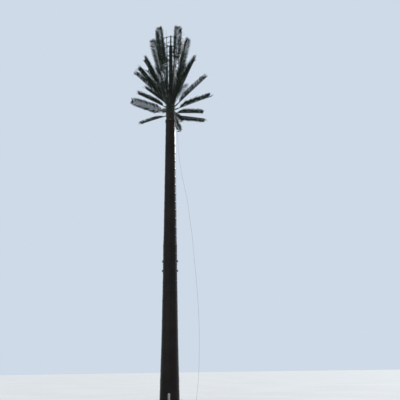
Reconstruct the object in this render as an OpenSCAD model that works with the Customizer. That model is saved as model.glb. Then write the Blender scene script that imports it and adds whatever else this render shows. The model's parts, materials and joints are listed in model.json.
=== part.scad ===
// A cell tower dressed as a palm: a clad steel monopole, six socket collars,
// a six ring antenna cage and nine tiers of stiff plastic fronds.
// Millimetres, +Z up. The origin is the middle of the base flange's underside.
// Azimuths turn from +X towards +Y; the picture was taken from -Y.

/* [Base flange] */
// Diameter of the base flange
flange_d = 1600; // [1500:10:1900]
// Thickness of the base flange
flange_t = 50; // [30:5:80]
// Diameter of the circle of anchor holes
anchor_pcd = 1400; // [1320:10:1440]
// Number of anchor holes
anchor_count = 12; // [8:2:16]
// Diameter of an anchor hole
anchor_hole_d = 42; // [30:1:50]

/* [Steel pole] */
// Outer diameter of the pole at its foot
pole_foot_d = 880; // [840:5:900]
// Loss of diameter for each metre of height
pole_taper = 18; // [16:1:20]
// Wall of the lower section
lower_wall = 12; // [6:1:20]
// Wall of the upper section
upper_wall = 8; // [5:1:12]
// Height of the upper section's lower rim
joint_z = 7600; // [7400:50:7800]
// Length of the slip joint
joint_lap = 1350; // [1000:50:1600]
// Clearance between the two sections in the slip joint
joint_gap = 3; // [1:0.5:4]
// Height of the steel pole's top
pole_top_z = 19450; // [19400:10:19500]

/* [Bark cladding] */
// Outer diameter of the trunk at the ground
trunk_foot_d = 1140; // [1120:5:1180]
// Outer diameter of the trunk where the root flare ends
trunk_flare_d = 972; // [950:5:1000]
// Height where the root flare ends
trunk_flare_z = 3300; // [2500:100:4000]
// Outer diameter of the trunk at the slip joint
trunk_joint_d = 856; // [850:2:880]
// Outer diameter of the trunk just above the joint sleeve
trunk_waist_d = 806; // [800:2:830]
// Outer diameter of the trunk under the crown
trunk_top_d = 632; // [626:2:650]
// Height of the trunk's cladding
trunk_top_z = 17290; // [17200:10:17330]
// Height of one leaf scar ring
scar_pitch = 550; // [400:10:700]
// How far a leaf scar's lip stands out
scar_out = 9; // [4:1:14]
// Height of a leaf scar's lip
scar_lip = 26; // [12:2:40]
// How far the joint sleeve reaches below the slip joint's rim
sleeve_drop = 300; // [250:10:400]

/* [Hand hole] */
// Width of the hand hole
port_w = 100; // [90:5:120]
// Height of the hand hole
port_h = 400; // [300:10:420]
// Height of the middle of the hand hole
port_z = 280; // [270:5:320]
// Wall of the hand hole's rim
port_wall = 12; // [8:1:16]
// How far the rim stands out of the cladding
port_proud = 16; // [8:1:30]
// Thickness of the hand hole's cover
port_cover_t = 6; // [4:1:10]

/* [Jacking lugs] */
// Number of lugs in each row
lug_count = 4; // [2:1:6]
// Height of a lug
lug_h = 120; // [80:10:160]
// Thickness of a lug
lug_t = 32; // [20:2:40]
// How far a lug stands out of the cladding
lug_out = 62; // [40:2:80]
// Diameter of the hole in a lug
lug_hole_d = 34; // [20:1:40]
// Distance of the lower row below the joint's rim
lower_lug_drop = 180; // [120:10:220]
// Distance of the upper row above the joint's rim
upper_lug_rise = 400; // [300:10:500]

/* [Frond sockets] */
// Outer diameter of a socket
socket_d = 84; // [76:1:92]
// Length of a socket on the pole, from the pole's face
socket_l = 250; // [200:10:300]
// Depth of solid metal behind a socket's bore on the pole
socket_root = 60; // [40:5:90]
// Height of a socket collar
collar_h = 110; // [80:5:130]
// Radial thickness of a socket collar
collar_t = 22; // [14:1:30]

/* [Fronds] */
// Length of a frond, from its foot to its last leaflet's tip
frond_l = 3060; // [2600:10:3200]
// Diameter of a frond's stem where it sits in its socket
stem_d = 56; // [48:1:62]
// Diameter of the stem at its tip
stem_tip_d = 18; // [14:1:24]
// Bare length of the stem, up to the first leaflet
stem_bare = 400; // [320:10:500]
// Length of a leaflet
leaf_l = 430; // [300:10:450]
// Angle between a leaflet and the stem
leaf_angle = 48; // [40:1:60]
// Thickness of a leaflet
leaf_t = 6; // [4:1:8]
// Number of leaflets on one side of a frond
leaf_count = 15; // [8:1:18]

/* [Antenna cage] */
// Radius of the rings, to the middle of their tube
ring_r = 570; // [560:5:600]
// Diameter of the rings' tube
ring_tube = 42; // [34:2:48]
// Height of the lowest ring above the plate on the pole's top
ring_foot = 170; // [150:5:220]
// Height of the top ring above the centre pipe's end
ring_head = 370; // [330:5:400]
// Number of spokes in a ring
spoke_count = 3; // [3:3:3]
// Diameter of a spoke
spoke_d = 34; // [26:2:38]
// Number of upright posts in the cage
post_count = 6; // [6:6:6]
// Diameter of an upright post
post_d = 34; // [26:2:38]
// Diameter of the centre pipe
mast_d = 240; // [220:5:260]
// Wall of the centre pipe
mast_wall = 8; // [5:1:12]
// Length of the centre pipe
mast_l = 3620; // [3560:10:3700]
// Diameter of the top pipe
top_pipe_d = 100; // [80:5:120]
// Length of the top pipe
top_pipe_l = 830; // [600:10:900]
// Thickness of the plate on the pole's top
cap_t = 20; // [12:1:30]
// Radius of the plate on the pole's top
cap_r = 310; // [300:5:340]
// Length of the lightning rod above the top ring
rod_l = 700; // [500:10:900]
// Diameter of the lightning rod
rod_d = 20; // [16:1:26]

/* [Antennas] */
// Width of a panel antenna
panel_w = 260; // [220:5:280]
// Depth of a panel antenna
panel_t = 110; // [90:5:130]
// Height of a panel antenna
panel_h = 1400; // [1200:20:1450]
// Distance of the panel antennas' lower ends above the lowest ring
panel_rise = 320; // [260:5:360]
// Diameter of the drum antenna
drum_d = 340; // [300:5:350]
// Depth of the drum antenna
drum_t = 120; // [100:5:140]
// Distance of the drum antenna's middle below the fourth ring
drum_drop = 72; // [64:1:76]

/* [Band and rope] */
// Height of the band under the crown
band_h = 120; // [100:5:160]
// How far the band stands out of the cladding
band_out = 30; // [24:1:40]
// Diameter of the rope eye's wire
eye_wire_d = 16; // [12:1:20]
// Diameter of the rope's eye, to the middle of its wire
eye_d = 48; // [40:1:60]
// Diameter of the rope
rope_d = 12; // [10:1:16]
// Distance of the rope's lower end from the pole's axis
rope_reach = 1500; // [1300:10:1700]
// Number of turns side by side in the rope's coil
coil_wide = 3; // [2:1:4]
// Number of layers in the rope's coil
coil_high = 2; // [1:1:3]
// Width of the coil, from the middle of one side to the other
coil_d = 132; // [120:2:150]

/* [Hidden] */

// Room between pieces that seat in or on each other
seat = 0.3;
// Depth by which a cut runs past a face
past = 20;

STEEL = [0.13, 0.11, 0.10];
BARK = [0.16, 0.13, 0.11];
ZINC = [0.55, 0.56, 0.57];
CAGE = [0.13, 0.17, 0.14];
LEAF = [0.13, 0.19, 0.13];
RADOME = [0.30, 0.35, 0.31];
ROPE = [0.62, 0.58, 0.50];

// Each tier of fronds on the pole: its height as a share of the bare pole over the trunk,
// then each frond's azimuth, elevation, roll and the angle by which its leaflets rise.
POLE_TIERS = [
  [0.282, [[44, 14.8, 0, -40], [82, 4.8, 0, 45], [133, 9.2, -20, 30], [262, 9, 0, 45]]],
  [0.366, [[47, 20.1, 0, 45], [79, 15, 0, 45], [158, 28, 75, 10], [288, 16, 0, 45]]],
  [0.449, [[20, 29.4, 0, 45], [104, 24, 0, 45], [245, 25, 0, 45], [286, 25, 0, 45]]],
  [0.532, [[95, 33, 0, 45], [150, 35.6, 0, 45], [226, 33, 0, 45], [262, 33, 0, 45],
    [300, 33, 0, 45], [356, 44.4, 0, 45]]],
  [0.653, [[92, 46, 0, 42], [140, 42.9, 0, 45], [187, 45, 0, 45], [228, 45, 0, 42],
    [280, 42, 0, 42], [312, 45, 0, 42]]],
  [0.815, [[65, 49.3, 0, -20], [104, 56, 0, -20], [150, 55, 0, -20], [186, 53.2, -30, -20]]]
];
// Each tier of fronds on the cage: the number of its ring, then the same.
CAGE_TIERS = [
  [1, [[8, 68, 0, 40], [50, 72, 0, 26], [85, 66, 0, 26], [128, 66, 0, 26], [175, 66.1, 0, 40]]],
  [2, [[48, 76, 0, -10], [152, 76, 0, -10], [201, 75.7, 40, 20], [336, 76, -35, 20]]],
  [3, [[22, 83.6, -20, 12], [136, 83, 0, 12], [186, 83, 20, 12],
    [222, 82.7, 25, -12], [306, 84.6, -20, -12]]]
];
cage_socket_back = socket_l * 0.24;
cage_socket_front = socket_l * 0.6;
cage_socket_root = socket_l * 0.08;

function lower_r(z) = (pole_foot_d - pole_taper * z / 1000) / 2;
function upper_r(z) = lower_r(z) + joint_gap + upper_wall;
lower_top_z = joint_z + joint_lap;
sleeve_low_z = joint_z - sleeve_drop;
sleeve_top_z = lower_top_z + past;
bark_foot_z = flange_t + 10;
function trunk_r(z) = lookup(z, [
  [0, trunk_foot_d], [trunk_flare_z, trunk_flare_d], [sleeve_low_z, trunk_joint_d],
  [sleeve_top_z, trunk_joint_d - 6], [sleeve_top_z + 500, trunk_waist_d],
  [trunk_top_z, trunk_top_d]]) / 2;
band_top_z = trunk_top_z + band_h;
band_r = trunk_r(trunk_top_z) + band_out;
// The rope's eye: its wire's radius, its ring's radius, and its middle
eye_wire = eye_wire_d / 2;
eye_r = eye_d / 2;
eye_x = band_r + eye_r + 10;
eye_z = trunk_top_z + band_h / 2;

function tier_z(i) = trunk_top_z + POLE_TIERS[i - 1][0] * (pole_top_z - trunk_top_z);

cap_top_z = pole_top_z + cap_t;
mast_top_z = cap_top_z + mast_l;
mast_foot_r = mast_d * 0.875;
mast_foot_t = cap_t * 0.8;
ring_pitch = (mast_l + ring_head - ring_foot) / 5;
function ring_z(i) = cap_top_z + ring_foot + (i - 1) * ring_pitch;
// The hubs clasp the centre pipe, and the top ring's hub clasps the top pipe
function core_r(i) = (i < 6 ? mast_d : top_pipe_d) / 2;
hub_wall = 14;
hub_h = ring_tube * 1.43;
post_r = ring_r - ring_tube / 2 - post_d / 2 - seat;
cage_socket_r = ring_r + ring_tube / 2 + socket_d / 2 - 8;
spoke_turn = 30;
post_turn = 0;
rod_turn = 240;

panel_turn = 90;
panel_r = ring_r * 0.526;
panel_z = ring_z(1) + panel_rise;
// The panels' arms stand clear of the rings' hubs
PANEL_ARMS = [ring_z(1) + ring_pitch * 0.628, ring_z(2) + ring_pitch * 0.754];
drum_x = -ring_r * 0.526;
drum_y = -ring_r * 0.36;
drum_z = ring_z(4) - drum_drop;
drum_pipe_d = 50;

// The rope's route, chosen by hand: out of the eye, down in its bow, and onto its coil.
// Each point gives its way out, its way aside and its height, as shares of the whole.
rope_side = -40;
coil_h = coil_high * rope_d;
coil_centre = [rope_reach - coil_d / 2, rope_side];
rope_top_z = eye_z - eye_r - eye_wire;
BOW = [
  [0, 0, 1], [0.007, 0, 0.9932], [0.036, 0.05, 0.9701], [0.071, 0.12, 0.9354],
  [0.116, 0.2, 0.8893], [0.188, 0.25, 0.8431], [0.286, 0.3, 0.7969], [0.402, 0.35, 0.7564],
  [0.527, 0.4, 0.716], [0.661, 0.45, 0.664], [0.768, 0.5, 0.6063], [0.875, 0.55, 0.5486],
  [0.964, 0.6, 0.4793], [1.045, 0.65, 0.4158], [1.116, 0.7, 0.3522], [1.17, 0.75, 0.2887],
  [1.192, 0.8, 0.2252], [1.183, 0.85, 0.1617], [1.152, 0.9, 0.1039], [1.098, 0.95, 0.0577],
  [1.045, 0.97, 0.0289], [1.013, 1, 0.0127], [1, 1, 0.0052]
];
ROUTE = concat([for (p = BOW)
    [eye_x + p[0] * (rope_reach - eye_x), p[1] * rope_side, p[2] * rope_top_z]],
  [[rope_reach, rope_side, coil_h]]);
rope_steps = 3;
rope_sides = 8;

module ring_tube(r_out, r_in, h) {
  difference() {
    cylinder(r = r_out, h = h, $fn = 64);
    translate([0, 0, -past]) cylinder(r = r_in, h = h + 2 * past, $fn = 64);
  }
}

// The solid cone inside the upper section's outer face, grown by some room.
module upper_cone(z0, z1, room) {
  translate([0, 0, z0])
    cylinder(r1 = upper_r(z0) + room, r2 = upper_r(z1) + room, h = z1 - z0, $fn = 64);
}

module lower_cone(z0, z1, room) {
  translate([0, 0, z0])
    cylinder(r1 = lower_r(z0) + room, r2 = lower_r(z1) + room, h = z1 - z0, $fn = 64);
}

module base_flange() {
  color(ZINC) difference() {
    cylinder(d = flange_d, h = flange_t, $fn = 96);
    for (i = [0:anchor_count - 1])
      rotate([0, 0, (i + 0.5) * 360 / anchor_count])
        translate([anchor_pcd / 2, 0, -past])
          cylinder(d = anchor_hole_d, h = flange_t + 2 * past, $fn = 32);
  }
}

// An upright slot with round ends, from the pole's inside out towards -Y.
module port_shape(grow, from_y, to_y) {
  w = port_w + 2 * grow;
  straight = port_h - port_w;
  translate([0, -from_y, port_z]) rotate([90, 0, 0])
    linear_extrude(height = to_y - from_y) union() {
      square([w, straight], center = true);
      for (side = [-1, 1]) translate([0, side * straight / 2]) circle(d = w, $fn = 48);
    }
}

port_front = trunk_r(port_z - port_h / 2) + port_proud;

module lower_section() {
  color(STEEL) difference() {
    lower_cone(flange_t, lower_top_z, 0);
    translate([0, 0, -past]) lower_cone(flange_t, lower_top_z + 3 * past, -lower_wall);
    port_shape(0, lower_r(port_z) / 2, port_front);
  }
}

module upper_section() {
  color(STEEL) difference() {
    upper_cone(joint_z, pole_top_z, 0);
    translate([0, 0, -past]) upper_cone(joint_z, pole_top_z + 3 * past, -upper_wall);
  }
}

// The outer line of the cladding from z0 to z1, with a lip on top of each leaf scar.
function scar_line(z0, z1) = let (n = max(1, round((z1 - z0) / scar_pitch)), p = (z1 - z0) / n)
  [for (k = [0:n - 1]) each [
    [trunk_r(z0 + k * p), z0 + k * p],
    [trunk_r(z0 + (k + 1) * p - scar_lip) + scar_out, z0 + (k + 1) * p - scar_lip],
    [trunk_r(z0 + (k + 1) * p), z0 + (k + 1) * p]
  ]];

module port_cut() {
  port_shape(port_wall + seat, lower_r(0) / 2, port_front + past);
}

module bark_lower() {
  line = scar_line(bark_foot_z, sleeve_low_z);
  color(BARK) difference() {
    rotate_extrude($fn = 96) polygon(concat(line, [
      [lower_r(sleeve_low_z) + seat, sleeve_low_z], [lower_r(bark_foot_z) + seat, bark_foot_z]]));
    port_cut();
  }
}

module bark_joint() {
  line = scar_line(sleeve_low_z, sleeve_top_z);
  color(BARK) difference() {
    rotate_extrude($fn = 96) polygon(concat(line, [
      [upper_r(sleeve_top_z) + seat, sleeve_top_z], [upper_r(joint_z) + seat, joint_z],
      [lower_r(joint_z) + seat, joint_z], [lower_r(sleeve_low_z) + seat, sleeve_low_z]]));
    lug_row(joint_z - lower_lug_drop, 2);
    lug_row(joint_z + upper_lug_rise, 2);
  }
}

module bark_upper() {
  line = scar_line(sleeve_top_z, trunk_top_z);
  color(BARK) rotate_extrude($fn = 96) polygon(concat(line, [
    [upper_r(trunk_top_z) + seat, trunk_top_z], [upper_r(sleeve_top_z) + seat, sleeve_top_z]]));
}

module port_rim() {
  color(ZINC) difference() {
    port_shape(port_wall, lower_r(0) / 2, port_front);
    port_shape(0, lower_r(0) / 2 - past, port_front + past);
    lower_cone(0, port_z + port_h, seat);
  }
}

module port_cover() {
  color(ZINC) port_shape(port_wall, port_front, port_front + port_cover_t);
}

// One row of lugs around the pole, each from inside the pole out past the cladding.
module lug_row(z, room) {
  for (i = [0:lug_count - 1]) rotate([0, 0, i * 360 / lug_count])
    translate([lower_r(z) / 2, -lug_t / 2 - room, z - lug_h / 2 - room])
      cube([trunk_r(z) + lug_out - lower_r(z) / 2, lug_t + 2 * room, lug_h + 2 * room]);
}

module lug_holes(z) {
  for (i = [0:lug_count - 1]) rotate([0, 0, i * 360 / lug_count])
    translate([trunk_r(z) + lug_out / 2, lug_t, z]) rotate([90, 0, 0])
      cylinder(d = lug_hole_d, h = 2 * lug_t, $fn = 24);
}

module lower_lugs() {
  z = joint_z - lower_lug_drop;
  color(STEEL) difference() {
    lug_row(z, 0);
    lower_cone(z - lug_h, z + lug_h, seat);
    lug_holes(z);
  }
}

module upper_lugs() {
  z = joint_z + upper_lug_rise;
  color(STEEL) difference() {
    lug_row(z, 0);
    upper_cone(z - lug_h, z + lug_h, seat);
    lug_holes(z);
  }
}

module crown_band() {
  color(STEEL) difference() {
    translate([0, 0, trunk_top_z]) cylinder(r = band_r, h = band_top_z - trunk_top_z, $fn = 96);
    upper_cone(trunk_top_z - past, band_top_z + past, seat);
    translate([band_r - 40, 0, eye_z]) rotate([0, 90, 0])
      cylinder(r = eye_wire + seat, h = 60, $fn = 24);
  }
}

// A socket along +X, from its back end to its mouth, with a blind bore.
module socket(back, root, front) {
  rotate([0, 90, 0]) difference() {
    translate([0, 0, back]) cylinder(d = socket_d, h = front - back, $fn = 32);
    translate([0, 0, root]) cylinder(d = stem_d + 2 * seat, h = front, $fn = 32);
  }
}

module collar(i) {
  z = tier_z(i);
  color(CAGE) difference() {
    union() {
      translate([0, 0, z - collar_h / 2])
        cylinder(r = upper_r(z - collar_h / 2) + collar_t, h = collar_h, $fn = 64);
      for (f = POLE_TIERS[i - 1][1]) rotate([0, 0, f[0]]) translate([upper_r(z), 0, z])
        rotate([0, -f[1], 0]) socket(-socket_d, socket_root, socket_l);
    }
    upper_cone(z - 4 * socket_d, z + 4 * socket_d, seat);
  }
}

module cap_plate() {
  color(STEEL) translate([0, 0, pole_top_z]) cylinder(r = cap_r, h = cap_t, $fn = 64);
}

module centre_pipe() {
  color(CAGE) translate([0, 0, cap_top_z]) difference() {
    union() {
      cylinder(r = mast_foot_r, h = mast_foot_t, $fn = 64);
      cylinder(d = mast_d, h = mast_l, $fn = 64);
    }
    translate([0, 0, mast_foot_t])
      cylinder(d = mast_d - 2 * mast_wall, h = mast_l - mast_foot_t - mast_wall, $fn = 64);
  }
}

module top_pipe() {
  color(CAGE) translate([0, 0, mast_top_z]) {
    cylinder(d = mast_d - 2 * mast_wall, h = mast_foot_t, $fn = 48);
    cylinder(d = top_pipe_d, h = top_pipe_l, $fn = 48);
  }
}

module lightning_rod() {
  z = ring_z(6) + ring_tube / 2;
  color(ZINC) rotate([0, 0, rod_turn]) translate([ring_r, 0, 0]) {
    translate([0, 0, z]) cylinder(d = rod_d, h = rod_l - 120, $fn = 24);
    translate([0, 0, z + rod_l - 120]) cylinder(d1 = rod_d, d2 = 5, h = 120, $fn = 24);
  }
}

// A ring of the cage, its spokes, and the hub that clasps the centre pipe.
module cage_ring(i) {
  seats = [for (t = CAGE_TIERS) if (t[0] == i) each t[1]];
  color(CAGE) translate([0, 0, ring_z(i)]) {
    difference() {
      union() {
        rotate_extrude($fn = 96) translate([ring_r, 0]) circle(d = ring_tube, $fn = 24);
        for (k = [0:spoke_count - 1]) rotate([0, 0, spoke_turn + k * 360 / spoke_count])
          rotate([0, 90, 0]) cylinder(d = spoke_d, h = ring_r, $fn = 24);
        translate([0, 0, -hub_h / 2]) cylinder(r = core_r(i) + hub_wall, h = hub_h, $fn = 64);
        for (f = seats) rotate([0, 0, f[0]]) translate([cage_socket_r, 0, 0])
          rotate([0, -f[1], 0])
            socket(-cage_socket_back, -cage_socket_root, cage_socket_front);
      }
      translate([0, 0, -hub_h]) cylinder(r = core_r(i) + seat, h = 2 * hub_h, $fn = 64);
      for (f = seats) rotate([0, 0, f[0]]) translate([cage_socket_r, 0, 0])
        rotate([0, 90 - f[1], 0]) translate([0, 0, -cage_socket_root])
          cylinder(d = stem_d + 2 * seat, h = 2 * cage_socket_front, $fn = 32);
    }
  }
}

module cage_posts() {
  color(CAGE) for (k = [0:post_count - 1]) rotate([0, 0, post_turn + k * 360 / post_count])
    translate([post_r, 0, ring_z(1) - ring_tube])
      cylinder(d = post_d, h = ring_z(6) - ring_z(1) + 2 * ring_tube, $fn = 24);
}

// The outline of a panel antenna: flat at the back, round at the front.
module panel_outline() {
  nose = panel_t * 0.45;
  translate([-panel_t / 2, -panel_w / 2]) square([panel_t - nose, panel_w]);
  translate([panel_t / 2 - nose, 0]) intersection() {
    scale(1) circle(d = panel_w, $fn = 64);
    translate([0, -panel_w / 2]) square([nose, panel_w]);
  }
}

module panel_antennas() {
  color(RADOME) for (k = [0:2]) rotate([0, 0, panel_turn + k * 120])
    translate([panel_r, 0, panel_z]) linear_extrude(height = panel_h) panel_outline();
}

// Two arms behind each panel antenna, from the centre pipe to the panel's back.
module panel_mounts() {
  panel_arm_w = panel_w * 0.35;
  panel_arm_h = hub_h;
  reach = panel_r - panel_t / 2 - mast_d / 2 - 2 * seat;
  color(ZINC) for (k = [0:2]) rotate([0, 0, panel_turn + k * 120])
    for (z = PANEL_ARMS) difference() {
      translate([mast_d / 4, -panel_arm_w / 2, z - panel_arm_h / 2])
        cube([mast_d / 4 + seat + reach, panel_arm_w, panel_arm_h]);
      translate([0, 0, z - panel_arm_h]) cylinder(r = mast_d / 2 + seat, h = 2 * panel_arm_h,
        $fn = 64);
    }
}

module drum_antenna() {
  color(RADOME) translate([drum_x, drum_y, drum_z]) rotate([90, 0, 0]) union() {
    translate([0, 0, -drum_t / 2]) cylinder(d = drum_d, h = drum_t * 0.8, $fn = 64);
    translate([0, 0, drum_t * 0.3]) cylinder(d1 = drum_d, d2 = drum_d * 0.9, h = drum_t * 0.2,
      $fn = 64);
  }
}

// An upright pipe at the drum's back, a boss that meets the drum, and two arms to the mast.
module drum_mount() {
  back = drum_y + drum_t / 2 + seat;
  pipe_y = back + drum_t / 2;
  arm = 40;
  color(ZINC) difference() {
    union() {
      translate([drum_x, pipe_y, drum_z - drum_d / 2])
        cylinder(d = drum_pipe_d, h = drum_d, $fn = 32);
      translate([drum_x, pipe_y, drum_z]) rotate([90, 0, 0])
        cylinder(d = 70, h = pipe_y - back, $fn = 32);
      for (side = [-1, 1]) translate([drum_x, pipe_y, drum_z + side * drum_d * 0.4 - arm / 2])
        rotate([0, 0, atan2(-pipe_y, -drum_x)])
          translate([0, -arm / 2, 0]) cube([norm([drum_x, pipe_y]), arm, arm]);
    }
    translate([0, 0, drum_z - drum_d]) cylinder(r = mast_d / 2 + seat, h = 2 * drum_d, $fn = 64);
  }
}

// One side's leaflets in the XY plane: a comb whose back lies along the stem. The last
// three leaflets close in towards the stem's line.
function comb(side) = let (
    last = frond_l - 0.8 * leaf_l * cos(leaf_angle * 0.55),
    step = (last - stem_bare) / (leaf_count - 1),
    root = stem_tip_d * 0.3)
  concat([[stem_bare - step * 0.2, 0]], [for (i = [0:leaf_count - 1]) each let (
    x = stem_bare + i * step,
    after = leaf_count - 1 - i,
    angle = leaf_angle * (after < 3 ? 0.55 + 0.15 * after : 1),
    l = leaf_l * (i < 2 ? 0.65 + 0.175 * i : (after < 2 ? 0.8 + 0.1 * after : 1)))
    [[x, side * root],
     [x + l * cos(angle), side * l * sin(angle)],
     [x + step * 0.62, side * root]]],
  [[last + step * 0.62, 0]]);

module frond(roll, rise) {
  grip = cage_socket_root + cage_socket_front;
  stem_l = frond_l - leaf_l * 0.45;
  union() {
    rotate([0, 90, 0]) cylinder(d = stem_d, h = grip, $fn = 24);
    translate([grip, 0, 0]) rotate([0, 90, 0])
      cylinder(d1 = stem_d, d2 = stem_tip_d, h = stem_l - grip, $fn = 24);
    for (side = [-1, 1]) rotate([roll + side * rise, 0, 0]) translate([0, 0, -leaf_t / 2])
      linear_extrude(height = leaf_t) polygon(comb(side));
  }
}

// A tier of fronds, each with its foot at the bottom of its socket's bore.
module seated_fronds(seats, r, z, root) {
  color(LEAF) for (f = seats) rotate([0, 0, f[0]]) translate([r, 0, z]) rotate([0, -f[1], 0])
    translate([root + seat, 0, 0]) frond(f[2], f[3]);
}

module pole_fronds(i) {
  seated_fronds(POLE_TIERS[i - 1][1], upper_r(tier_z(i)), tier_z(i), socket_root);
}

module cage_fronds(i) {
  tier = CAGE_TIERS[i - 1];
  seated_fronds(tier[1], cage_socket_r, ring_z(tier[0]), -cage_socket_root);
}

module rope_eye() {
  color(ZINC) union() {
    translate([band_r - 38, 0, eye_z]) rotate([0, 90, 0])
      cylinder(r = eye_wire, h = eye_x - eye_r - band_r + 38, $fn = 24);
    translate([eye_x, 0, eye_z]) rotate([90, 0, 0])
      rotate_extrude($fn = 48) translate([eye_r, 0]) circle(r = eye_wire, $fn = 24);
  }
}

// A smooth line through the route's points.
function bend(a, b, c, d, t) = 0.5 * (2 * b + (c - a) * t + (2 * a - 5 * b + 4 * c - d) * t * t
  + (3 * b - a - 3 * c + d) * t * t * t);
function smooth(p, n) = let (last = len(p) - 1) concat(
  [for (i = [0:last - 1], k = [0:n - 1])
    bend(p[max(i - 1, 0)], p[i], p[i + 1], p[min(i + 2, last)], k / n)], [p[last]]);
function unit(v) = v / norm(v);
function heading(p, i) = unit(p[min(i + 1, len(p) - 1)] - p[max(i - 1, 0)]);
function rim(p, i, r, sides) = let (
    way = i == 0 || i == len(p) - 1 ? [0, 0, -1] : heading(p, i),
    u = unit(cross(way, [0, 1, 0])), v = cross(way, u))
  [for (k = [0:sides - 1]) p[i] + r * (u * cos(360 * k / sides) + v * sin(360 * k / sides))];

module swept(p, r, sides) {
  rims = [for (i = [0:len(p) - 1]) each rim(p, i, r, sides)];
  last = (len(p) - 1) * sides;
  walls = [for (i = [0:len(p) - 2], k = [0:sides - 1]) let (a = i * sides, m = (k + 1) % sides)
    each [[a + k, a + sides + k, a + m], [a + m, a + sides + k, a + sides + m]]];
  polyhedron(rims, concat([[for (k = [0:sides - 1]) k]], walls,
    [[for (k = [0:sides - 1]) last + sides - 1 - k]]));
}

module rope() {
  color(ROPE) swept(smooth(ROUTE, rope_steps), rope_d / 2, rope_sides);
}

module rope_coil() {
  w = coil_wide * rope_d;
  color(ROPE) translate([coil_centre[0], coil_centre[1], 0]) rotate_extrude($fn = 64)
    translate([coil_d / 2 - w / 2, 0]) square([w, coil_h]);
}

base_flange();
lower_section();
upper_section();
bark_lower();
bark_joint();
bark_upper();
port_rim();
port_cover();
lower_lugs();
upper_lugs();
crown_band();
collar(1);  // collar_1
collar(2);  // collar_2
collar(3);  // collar_3
collar(4);  // collar_4
collar(5);  // collar_5
collar(6);  // collar_6
cap_plate();
centre_pipe();
top_pipe();
lightning_rod();
cage_ring(1);  // ring_1
cage_ring(2);  // ring_2
cage_ring(3);  // ring_3
cage_ring(4);  // ring_4
cage_ring(5);  // ring_5
cage_ring(6);  // ring_6
cage_posts();
panel_antennas();
panel_mounts();
drum_antenna();
drum_mount();
pole_fronds(1);  // fronds_1
pole_fronds(2);  // fronds_2
pole_fronds(3);  // fronds_3
pole_fronds(4);  // fronds_4
pole_fronds(5);  // fronds_5
pole_fronds(6);  // fronds_6
cage_fronds(1);  // fronds_7
cage_fronds(2);  // fronds_8
cage_fronds(3);  // fronds_9
rope_eye();
rope();
rope_coil();
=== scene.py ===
# %% [markdown]
# # A cell tower dressed as a palm
# The real tower is a tapered steel pole clad in moulded bark, with a ring cage for
# antennas at its top and stiff plastic fronds that hide the cage. The imported solids
# come in as a fixed frame, and everything below is dressed around them in the same
# metres. Models could also be built here from nothing, but then the looks and the
# solids would drift apart.

# %% Load the frame
import json
from math import atan2, cos, pi, radians, sin
from random import Random

import bpy
from mathutils import Matrix, Vector, noise


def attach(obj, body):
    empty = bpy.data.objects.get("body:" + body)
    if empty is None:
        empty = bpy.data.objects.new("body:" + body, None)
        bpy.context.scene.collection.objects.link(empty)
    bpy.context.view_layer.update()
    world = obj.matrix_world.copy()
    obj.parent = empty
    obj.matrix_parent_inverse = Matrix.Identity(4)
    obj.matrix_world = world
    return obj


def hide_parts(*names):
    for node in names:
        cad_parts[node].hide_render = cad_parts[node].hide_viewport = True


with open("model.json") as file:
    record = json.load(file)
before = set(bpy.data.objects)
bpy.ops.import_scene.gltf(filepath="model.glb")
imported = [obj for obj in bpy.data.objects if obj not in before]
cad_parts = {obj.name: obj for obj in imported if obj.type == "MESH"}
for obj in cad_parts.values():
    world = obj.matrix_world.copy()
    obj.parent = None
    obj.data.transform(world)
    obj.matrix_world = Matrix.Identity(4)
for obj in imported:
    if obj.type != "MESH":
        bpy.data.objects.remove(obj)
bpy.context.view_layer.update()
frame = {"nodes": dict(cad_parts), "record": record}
scene = bpy.context.scene

# %% [markdown]
# ## Camera
# The picture was taken from eye height, 32 m away, with the camera tilted up. The
# tilt, the small lean and the lens come from the horizon, the narrowing trunk and the
# ellipses of the cage's rings. A camera could be aimed with a constraint, but plain
# turns keep the lean exact.

# %% Camera
EYE = Vector((1.87, -32.0, 1.7))
TILT, LEAN = radians(17.65), radians(0.82)
camera_data = bpy.data.cameras.new("camera")
camera_data.sensor_fit, camera_data.sensor_width, camera_data.lens = "HORIZONTAL", 36, 48.06
camera_data.clip_end = 2000
camera = bpy.data.objects.new("camera", camera_data)
scene.collection.objects.link(camera)
scene.camera = camera
camera.matrix_world = (Matrix.Translation(EYE) @ Matrix.Rotation(pi / 2 + TILT, 4, "X")
                       @ Matrix.Rotation(-LEAN, 4, "Z"))
print("camera", round((EYE - Vector((0, 0, 12))).length, 1), "m from the tower's middle")

# %% [markdown]
# ## Rope
# A 12 mm laid rope is tied to an eye under the crown and blown into a long bow. Its
# spare end lies in a small round coil on the ground. A curve with a round bevel would
# be quick, but it has no strands. So a tube is swept along the route here. The first
# helpers draw a smooth line through given points and space its points evenly, so that
# the strands turn at one rate.

# %% Lines in space
def smooth_line(points, steps):
    """Points on a smooth line through the given ones, with so many steps between two."""
    line = []
    for i in range(len(points) - 1):
        a, b = points[max(i - 1, 0)], points[i]
        c, d = points[i + 1], points[min(i + 2, len(points) - 1)]
        for k in range(steps):
            t = k / steps
            line.append(0.5 * (2 * b + (c - a) * t + (2 * a - 5 * b + 4 * c - d) * t * t
                               + (3 * b - a - 3 * c + d) * t ** 3))
    return line + [points[-1]]


def length_of(line):
    return sum((b - a).length for a, b in zip(line, line[1:]))


def evenly(line, step):
    """The line again, with its points about one step apart."""
    total = length_of(line)
    count = max(2, round(total / step))
    out, walked, i = [line[0]], 0.0, 0
    for n in range(1, count):
        goal = total * n / count
        while walked + (line[i + 1] - line[i]).length < goal:
            walked += (line[i + 1] - line[i]).length
            i += 1
        share = (goal - walked) / (line[i + 1] - line[i]).length
        out.append(line[i].lerp(line[i + 1], share))
    return out + [line[-1]]


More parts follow.
